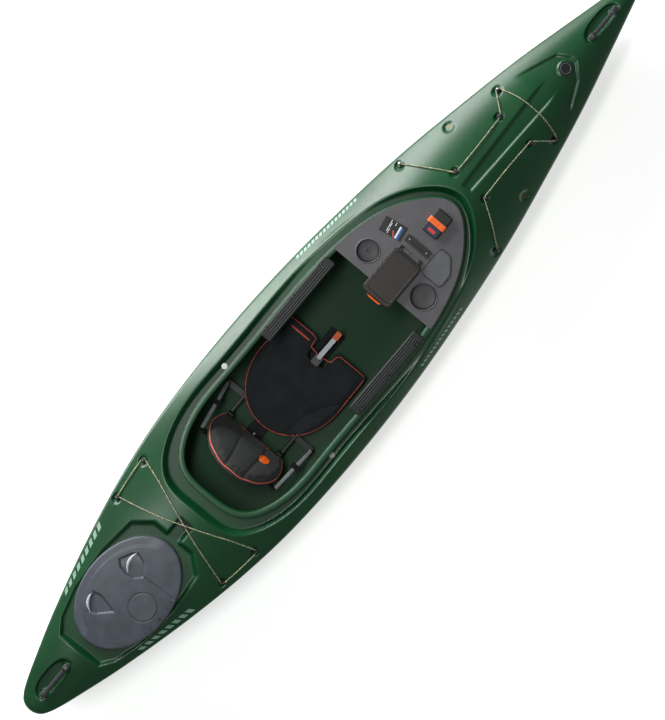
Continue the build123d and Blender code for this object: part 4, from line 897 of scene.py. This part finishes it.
def reach(points, line):
    """Distance of points from an open line, both in plan."""
    nearest = np.full(len(points), 1e9)
    for a, b in zip(line[:-1], line[1:]):
        a, b = np.asarray(a, float), np.asarray(b, float)
        d = b - a
        t = np.clip(((points - a) @ d) / (d @ d), 0, 1)
        nearest = np.minimum(nearest, np.linalg.norm(points - a - t[:, None] * d, axis=1))
    return nearest


def crown(piece, outline, rise, seams, plane):
    """Crowns the pad's face, then presses its sewn channels in; plane gives its own axes."""
    points = np.array([v.co for v in piece.data.vertices]) / MM
    local = (points - plane["origin"]) @ plane["axes"].T
    low, high = local[:, 2].min(), local[:, 2].max()
    face = ease((local[:, 2] - low - 0.45 * (high - low)) / (0.4 * (high - low)))
    deep = inside_by(outline, local[:, 0], local[:, 1])
    lift = rise * (1 - np.exp(-np.clip(deep, 0, 1e9) / 45)) - rise * 0.75
    lift = lift - 5.0 * np.exp(-(np.clip(deep - 4, 0, 1e9) / 7) ** 2)
    for seam in seams:
        gap = reach(local[:, :2], seam)
        lift = lift - 4.5 * np.exp(-(gap / 5.5) ** 2) - 3.2 * np.exp(-(gap / 22) ** 2)
    local[:, 2] += lift * face
    points = local @ plane["axes"] + plane["origin"]
    piece.data.vertices.foreach_set("co", (points * MM).reshape(-1))
    piece.data.update()
    return BVHTree.FromPolygons([tuple(p) for p in points], [tuple(f.vertices) for f in piece.data.polygons])


def laid_on(tree, plane, line, sink):
    """A line in plan laid on a pad's face."""
    origin, axes = plane["origin"], plane["axes"]
    found = []
    for u, v in line:
        above = origin + axes[0] * u + axes[1] * v + axes[2] * 200
        hit = tree.ray_cast(Vector(above), Vector(-axes[2]))[0]
        if hit is not None:
            found.append(np.array(hit) - axes[2] * sink)
    found = np.array(found)
    if len(found) > 8:
        kernel = np.ones(5) / 5
        padded = np.vstack([found[:1]] * 2 + [found] + [found[-1:]] * 2)
        found = np.column_stack([np.convolve(padded[:, k], kernel, "valid") for k in range(3)])
    return found


def sewn(prefix, face, plane, outline, seams, body):
    """Piping round a pad's face, and tape along its seams."""
    cord = laid_on(face, plane, evenly(np.vstack([outline, outline[:1]])), 0.2)
    edge_cord = tube(prefix + "_piping", cord[:-1], 2.3, piping, body, closed=True)
    for i, seam in enumerate(seams):
        thread = laid_on(face, plane, evenly(seam), -0.2)
        tape = tube(f"{prefix}_seam_{i}", thread, 1.5, stitching, body, flat=0.4)


def evenly(line, step=5):
    """Points at even spacing along a line."""
    line = np.asarray(line, float)
    far = np.concatenate([[0], np.cumsum(np.linalg.norm(np.diff(line, axis=0), axis=1))])
    places = np.linspace(0, far[-1], max(int(far[-1] / step), 3))
    return np.column_stack([np.interp(places, far, line[:, k]) for k in range(line.shape[1])])


def seat_line(grow=0):
    """The cushion's outline in plan, with its notch for the trim lever."""
    w, rear, front = 208 + grow, -445 - grow, -25 + grow
    port = smooth([(rear, 0), (rear + 24, 0.46 * w), (rear + 120, 0.88 * w), (rear + 230, w)],
                  (0, 1), (1, 0.05))
    notch, deep = 46 - grow, -93 - grow
    corner = [(front - 14, w * 0.98), (front - 3, w * 0.98 - 4), (front, w * 0.98 - 14)]
    lever_notch = [(front, notch + 16), (front - 5, notch + 5), (front - 16, notch), (deep + 18, notch),
                   (deep + 5, notch - 5), (deep, notch - 18), (deep, 0)]
    return both_sides(np.array(list(port) + corner + lever_notch))


seat_plane = {"origin": np.zeros(3), "axes": np.eye(3)}
SEAT_SEAMS = [
    [(-429, 113), (-370, 118), (-292, 122), (-240, 132), (-180, 150), (-120, 168)],
    [(-258, 124), (-243, 90), (-240, 40), (-239, 8), (-244, -40), (-254, -86), (-266, -128)],
    [(-421, -89), (-380, -93), (-332, -97), (-280, -112), (-235, -140), (-190, -175), (-150, -202)],
]
cushion = stuffed("seat_cushion", "seat_cushion_pad", seat_mesh, 7, lambda p: p[:, 2] < 42)
cushion_face = crown(cushion, seat_line(-2), 9, SEAT_SEAMS, seat_plane)
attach(cushion, "seat")
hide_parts("seat_cushion")
sewn("seat", cushion_face, seat_plane, seat_line(-7), SEAT_SEAMS, "seat")


def on_cushion(x, y):
    """The height of the stuffed cushion's face."""
    hits = [cushion_face.ray_cast(Vector((a, b, 200)), Vector((0, 0, -1)))[0]
            for a, b in zip(x.reshape(-1), y.reshape(-1))]
    return np.array([60.0 if hit is None else hit[2] for hit in hits]).reshape(x.shape)


FRONT_STRIP = [(-56, 166), (-56, 74), (-63, 74), (-63, 166)]
strip = patch("seat_front_strip_0", FRONT_STRIP, 0.6, piping, on_cushion, "seat", (24, 5))

LEAN = math.radians(35)
back_up = np.array([-math.sin(LEAN), 0, math.cos(LEAN)])
back_axes = np.array([[0, 1, 0], back_up, np.cross([0, 1, 0], back_up)])
back_plane = {"origin": np.array([-486, 0, 64]) + back_up * 34, "axes": back_axes}


def back_line(grow=0):
    """The back pad's outline in its own plane."""
    w, h = 175 + grow, 268 + grow
    side = smooth([(w * 0.86, -grow), (w, 0.34 * h), (w * 0.8, 0.72 * h), (w * 0.36, 0.955 * h), (0, h)],
                  (0.5, 1), (-1, 0))
    return np.vstack([side, side[-2::-1] * [-1, 1]])


BACK_SEAMS = [[(32, 262), (34, 180), (44, 90), (50, 8)], [(-52, 256), (-58, 180), (-70, 90), (-72, 8)],
              [(-150, 84), (-60, 66), (0, 62), (60, 66), (150, 84)]]


def back_held(p):
    """The rear part of the back pad, which is fixed to its frame."""
    depth = (p - back_plane["origin"]) @ back_axes[2]
    return depth < 8


back = stuffed("seat_back_pad", "seat_back_cushion", back_mesh, 7, back_held)
back_face = crown(back, back_line(-2), 9, BACK_SEAMS, back_plane)
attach(back, "seat_back")
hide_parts("seat_back_pad")
sewn("seat_back", back_face, back_plane, back_line(-6), BACK_SEAMS, "seat_back")


def back_badge():
    """The oval badge, laid on the face of the stuffed back."""
    seat = (design_points("seat_back_badge") - back_plane["origin"]) @ back_axes.T
    u0, v0 = (seat[:, :2].min(0) + seat[:, :2].max(0)) / 2
    half_u, half_v = (seat[:, :2].max(0) - seat[:, :2].min(0)) / 2
    turn = full_turn(48)
    rings = []
    for share, rise in ((0.02, 1.7), (0.45, 1.7), (0.8, 1.5), (0.86, 2.1), (0.95, 2.1), (1.0, 1.4),
                        (1.0, -2.5)):
        ring = []
        for a in turn:
            above = (back_plane["origin"] + back_axes[0] * (u0 + half_u * share * math.cos(a))
                     + back_axes[1] * (v0 + half_v * share * math.sin(a)) + back_axes[2] * 200)
            hit = back_face.ray_cast(Vector(above), Vector(-back_axes[2]))[0]
            ring.append(np.array(hit) + back_axes[2] * rise)
        rings.append(ring)
    faces = quads(len(rings), len(turn), False, True)
    badge = shape("seat_back_oval", np.array(rings), faces, orange, "seat_back")
    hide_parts("seat_back_badge")


back_badge()


# ---- belts ----

def belt(name, start, end, across, wide, thick, sag, material, body):
    """A flat strap between two points, with a little slack and rounded edges."""
    t = np.linspace(0, 1, 30)[:, None]
    a, b = np.asarray(start, float), np.asarray(end, float)
    run = (b - a) / np.linalg.norm(b - a)
    across = np.asarray(across, float) - run * np.dot(across, run)
    across = across / np.linalg.norm(across)
    normal = np.cross(run, across)
    path = a + (b - a) * t + normal * (sag * np.sin(math.pi * t) + 0.5 * np.sin(5 * math.pi * t))
    half, deep = wide / 2, thick / 2
    ring = [(-half, -deep * 0.6), (-half + deep, -deep), (half - deep, -deep), (half, -deep * 0.6),
            (half, deep * 0.6), (half - deep, deep), (-half + deep, deep), (-half, deep * 0.6)]
    rings = np.stack([path + across * u + normal * v for u, v in ring], 1)
    return shape(name, rings, quads(len(path), len(ring), False, True), material, body)


for node, side in (("strap_port", 1), ("strap_starboard", -1)):
    corners = np.unique(design_points(node).round(1), axis=0)
    order = corners[np.argsort(corners[:, 0])]
    low_end, high_end = order[:4].mean(0), order[-4:].mean(0)
    one = belt(node + "_webbing", low_end, high_end, (0, 1, 0), 14, 1.6, 0.8, grey_belt, None)
    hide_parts(node)
    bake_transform(one)


def gear_strap():
    """The orange strap over the gear block, its corners rounded where it bends."""
    wide, tall, radius = 38.3, 26.4, 6
    side = [(-wide, 4.2)] + [(-wide + radius + radius * math.cos(a), tall - radius + radius * math.sin(a))
                             for a in np.radians(np.linspace(180, 90, 7))]
    path = side + [(-y, z) for y, z in reversed(side)]
    path = evenly(path, 3)
    inner = path * [0.955, 1] - [0, 1.7]
    rings = []
    for x in (588, 589, 611, 612):
        skin = 0.4 if x in (588, 612) else 0
        rings.append(rim_point(x, path[:, 0], path[:, 1] - skin))
    for x in (612, 588):
        rings.append(rim_point(x, inner[:, 0], inner[:, 1]))
    faces = quads(len(rings), len(path), True, False)
    strap = shape("gear_strap_webbing", np.array(rings), faces, orange_belt)
    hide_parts("gear_strap")


gear_strap()


# ---- the card and the pouch's patch, with plain bars for their print ----

def console_bar(name, middle, size, turn, height, material):
    """A thin bar in the plane of the rim, turned by an angle in degrees."""
    a = math.radians(turn)
    ends = [(-1, -1), (1, -1), (1, 1), (-1, 1)]
    plan = [(middle[0] + u * size[0] / 2 * math.cos(a) - v * size[1] / 2 * math.sin(a),
             middle[1] + u * size[0] / 2 * math.sin(a) + v * size[1] / 2 * math.cos(a)) for u, v in ends]
    plan = np.array(plan)
    low = rim_point(plan[:, 0], plan[:, 1], height)
    top = rim_point(plan[:, 0], plan[:, 1], height + 0.35)
    faces = [(4, 5, 6, 7), (0, 1, 5, 4), (1, 2, 6, 5), (2, 3, 7, 6), (3, 0, 4, 7)]
    bar = shape(name, np.vstack([low, top]), faces, material)
    bar.data.polygons.foreach_set("use_smooth", [False] * len(faces))


CARD_TOP = 5.25
console_bar("card_white_band", (478, 93), (50, 7), 10, CARD_TOP, white_film)
console_bar("card_blue_band", (476, 84), (50, 8), 10, CARD_TOP, blue_film)
console_bar("card_red_bar", (462, 104), (26, 6), 42, CARD_TOP, red_film)
PRINT_BARS = ((492, 138, 22), (484, 132, 18), (468, 134, 26), (460, 126, 20), (498, 118, 14))
for i, (x, y, long) in enumerate(PRINT_BARS):
    console_bar(f"card_print_bar_{i}", (x, y), (long, 2.4), 10, CARD_TOP, white_film)
console_bar("pouch_patch", (568, 0), (30, 54), 0, 26.15, navy_film)
console_bar("pouch_bar", (566, 0), (13, 32), 0, 26.55, red_film)


# ---- cup holders: a rolled lip round each, and a black disc of painted shade for the small drain hole in the port one ----

for name, (cx, cy, radius) in (("port_cup", (350, 136, 45)), ("starboard_cup", (352, -142, 52))):
    turn = full_turn(72)
    rings = []
    for out, up in ([(-0.6, -36)] + [(-0.6, -2)] + arc(1.2, 4.2, 1.8, 180, 60, 5) + [(4, 4.4), (5, 4.05)]):
        rings.append(rim_point(cx + (radius + out) * np.cos(turn), cy + (radius + out) * np.sin(turn), up))
    for share in (0.99, 0.9, 0.3, 0.02):
        rings.insert(0, rim_point(cx + radius * share * np.cos(turn), cy + radius * share * np.sin(turn),
                                  -38.0 if share < 0.95 else -36.0))
    lip = shape(name + "_liner", np.array(rings), quads(len(rings), len(turn), False, True), cup_grey)
# A black disc at the foot of the port cup: painted shade standing in for the dark drain hole.
drain = shape("port_cup_drain_painted_shade", np.vstack([rim_point(350 + 6 * np.cos(turn), 136 + 6 * np.sin(turn), -37.6),
                                           rim_point(350, 136, -37.6)[None]]),
              [(i, (i + 1) % 72, 72) for i in range(72)], black)


# ---- carrying handles: a slim ribbed grip between two bosses ----

def carrying_handle(node):
    """The grip in its node's box: a boss at each end and finger grooves between them."""
    box = design_points(node)
    low, high = box.min(0), box.max(0)
    middle = (low + high) / 2
    long, tall = (high[0] - low[0]) / 2, high[2] - low[2]
    u = even_places(-long, long, 1.2, 8, 10)
    turn = full_turn(28)
    rings = []
    for place in u:
        end = np.clip((long - abs(place)) / 10, 0, 1)
        boss = ease((abs(place) - long + 34) / 12)
        half = (8.5 + 4.5 * boss) * (0.25 + 0.75 * bulge(end))
        deep = tall / 2 * (0.62 + 0.36 * boss) * (0.5 + 0.5 * bulge(end))
        groove = 1.1 * (1 - boss) * (0.5 + 0.5 * math.cos(place * 2 * math.pi / 8))
        square = 0.55
        side = np.sign(np.cos(turn)) * np.abs(np.cos(turn)) ** square
        rise = np.sign(np.sin(turn)) * np.abs(np.sin(turn)) ** square
        rings.append(np.stack([np.full(turn.shape, middle[0] + place),
                               middle[1] + (half - groove * 0.4) * side,
                               middle[2] + (deep - groove) * rise], -1))
    handle = shape(node + "_grip", np.array(rings), quads(len(rings), len(turn), False, True), handle_slate)
    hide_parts(node)


carrying_handle("bow_handle")
carrying_handle("stern_handle")


# ---- the stern cord's last run, back to its first hook ----

tail = np.column_stack([np.linspace(-974, -998, 9), np.linspace(170, 262, 9)])
tail_lift = 3.6 + np.linspace(6, 0.5, 9)
tail_path = np.column_stack([tail, deck_height(tail[:, 0], tail[:, 1]) + tail_lift])
tail_cord = tube("stern_bungee_tail", tail_path, 2.5, bungee, "hull")


# ---- beads round the lids ----

def bead(name, corners, radius, level, thick, material, body):
    """A thin bead along a closed outline with rounded corners, in the plane of the rim."""
    corners = np.asarray(corners, float)
    path = []
    for before, here, after in zip(np.roll(corners, 1, 0), corners, np.roll(corners, -1, 0)):
        to_before = (before - here) / np.linalg.norm(before - here)
        to_after = (after - here) / np.linalg.norm(after - here)
        a, b = here + to_before * radius, here + to_after * radius
        for t in np.linspace(0, 1, 7):
            path.append(a * (1 - t) ** 2 + here * 2 * t * (1 - t) + b * t**2)
    path = evenly(np.vstack([path, path[:1]]), 3)[:-1]
    return tube(name, rim_point(path[:, 0], path[:, 1], level), thick, material, body, closed=True, flat=0.6)


lid_bead = bead("dry_box_lid_bead", [(243, -58), (424, -58), (424, 58), (243, 58)], 22, 24.3, 1.7, lid_brown,
                "dry_box_lid")
tray_outline = [(417, -72), (540, -72), (540, -124), (485, -171), (417, -171)]
tray_seam = bead("tray_lid_seam", tray_outline, 17, 4.3, 1.2, black, "hull")


# ---- a grey ring on the bow badge ----

turn = full_turn(72)
ring_path = np.column_stack([BADGE_X + 20 * np.cos(turn), 20 * np.sin(turn)])
badge_top = max(v.co.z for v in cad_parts["bow_badge"].data.vertices) / MM
ring_path = np.column_stack([ring_path, np.full(72, badge_top - 0.4)])
badge_ring = tube("bow_badge_ring", ring_path, 1.6, tray_grey, "hull", closed=True, flat=0.6)


# ---- finishes of the pieces that come straight from the design ----

FINISH = {
    slate: ["hatch_badge"],
    black: ["bow_badge", "bow_deck_hooks", "stern_deck_hooks", "accessory_track", "gear_block", "seat_pan",
            "seat_back_frame", "strap_buckles", "thigh_brace_bolts", "foot_pedal_port",
            "foot_pedal_starboard"],
    steel: ["handle_screws", "deck_hook_screws", "lid_hinge_pin", "latch_pin", "track_screws", "rail_screws",
            "trim_lever_pin", "recline_pins", "coaming_bolts", "foot_rail_screws"],
    bungee: ["bow_bungee", "stern_bungee"],
    brass: ["accessory_inserts"],
    console_grey: ["console", "seat_front_block"],
    lid_brown: ["dry_box", "dry_box_lid"],
    rubber: ["dry_box_gasket", "hatch_gasket"],
    orange: ["dry_box_latch", "trim_lever_grip"],
    tray_grey: ["tray_lid"],
    black_film: ["console_card"],
    aluminium: ["trim_lever"],
    black_aluminium: ["seat_rail", "foot_rail_port", "foot_rail_starboard"],
    foam: ["stern_bulkhead", "bow_foam_pillar"],
}
for finish, nodes in FINISH.items():
    for node in nodes:
        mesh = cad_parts[node].data
        mesh.materials.clear()
        mesh.materials.append(finish)


# ---- floor, light and camera ----

floor_material, floor_tree, floor_place = start("pale_floor")
floor_colour, _ = shades(floor_tree, floor_place, 1.5, "#F1F2F1", "#F4F4F3")
surface(floor_tree, Base_Color=floor_colour, Roughness=0.9, Emission_Color=floor_colour,
        Emission_Strength=0.66)
floor_mesh = bpy.data.meshes.new("floor")
floor_mesh.from_pydata([(-12, -12, -0.0015), (12, -12, -0.0015), (12, 12, -0.0015), (-12, 12, -0.0015)], [],
                       [(0, 1, 2, 3)])
floor_mesh.materials.append(floor_material)
floor = placed("floor", floor_mesh)

world = bpy.data.worlds.new("studio")
world.use_nodes = True
world.node_tree.nodes["Background"].inputs[0].default_value = linear("#F2F5F4")
world.node_tree.nodes["Background"].inputs[1].default_value = 0.22
bpy.context.scene.world = world


def lamp(name, place, aim, size, power):
    """A softbox at a place, turned to face another."""
    light = bpy.data.lights.new(name, "AREA")
    light.shape = "RECTANGLE"
    light.size, light.size_y = size
    light.energy = power
    holder = placed(name, light)
    holder.location = place
    holder.rotation_euler = (Vector(aim) - Vector(place)).to_track_quat("-Z", "Y").to_euler()


lamp("port_softbox", (0.3, 4.6, 1.75), (0, 0, 0.2), (5.5, 2.0), 500)
lamp("overhead_fill", (-0.6, 1.2, 5.2), (0, 0, 0), (2.4, 0.6), 95)

SENSOR = 36
SEEN_WIDTH = 2.797
DISTANCE = 8.0
TILT = math.radians(4.5)
looked_at = Vector((-0.061, -0.034, 0.25))
toward = Vector((0, math.sin(TILT), math.cos(TILT)))
up = Vector((0.7672, 0.6414, 0))
right = up.cross(toward).normalized()
up = toward.cross(right).normalized()
camera_data = bpy.data.cameras.new("camera")
camera_data.sensor_width = SENSOR
camera_data.lens = SENSOR * DISTANCE / SEEN_WIDTH
camera_data.dof.use_dof = False
camera = placed("camera", camera_data)
camera.matrix_world = Matrix.Translation(looked_at + toward * DISTANCE) @ Matrix(
    (right, up, toward)).transposed().to_4x4()
bpy.context.scene.camera = camera
bpy.context.scene.view_settings.view_transform = "Standard"
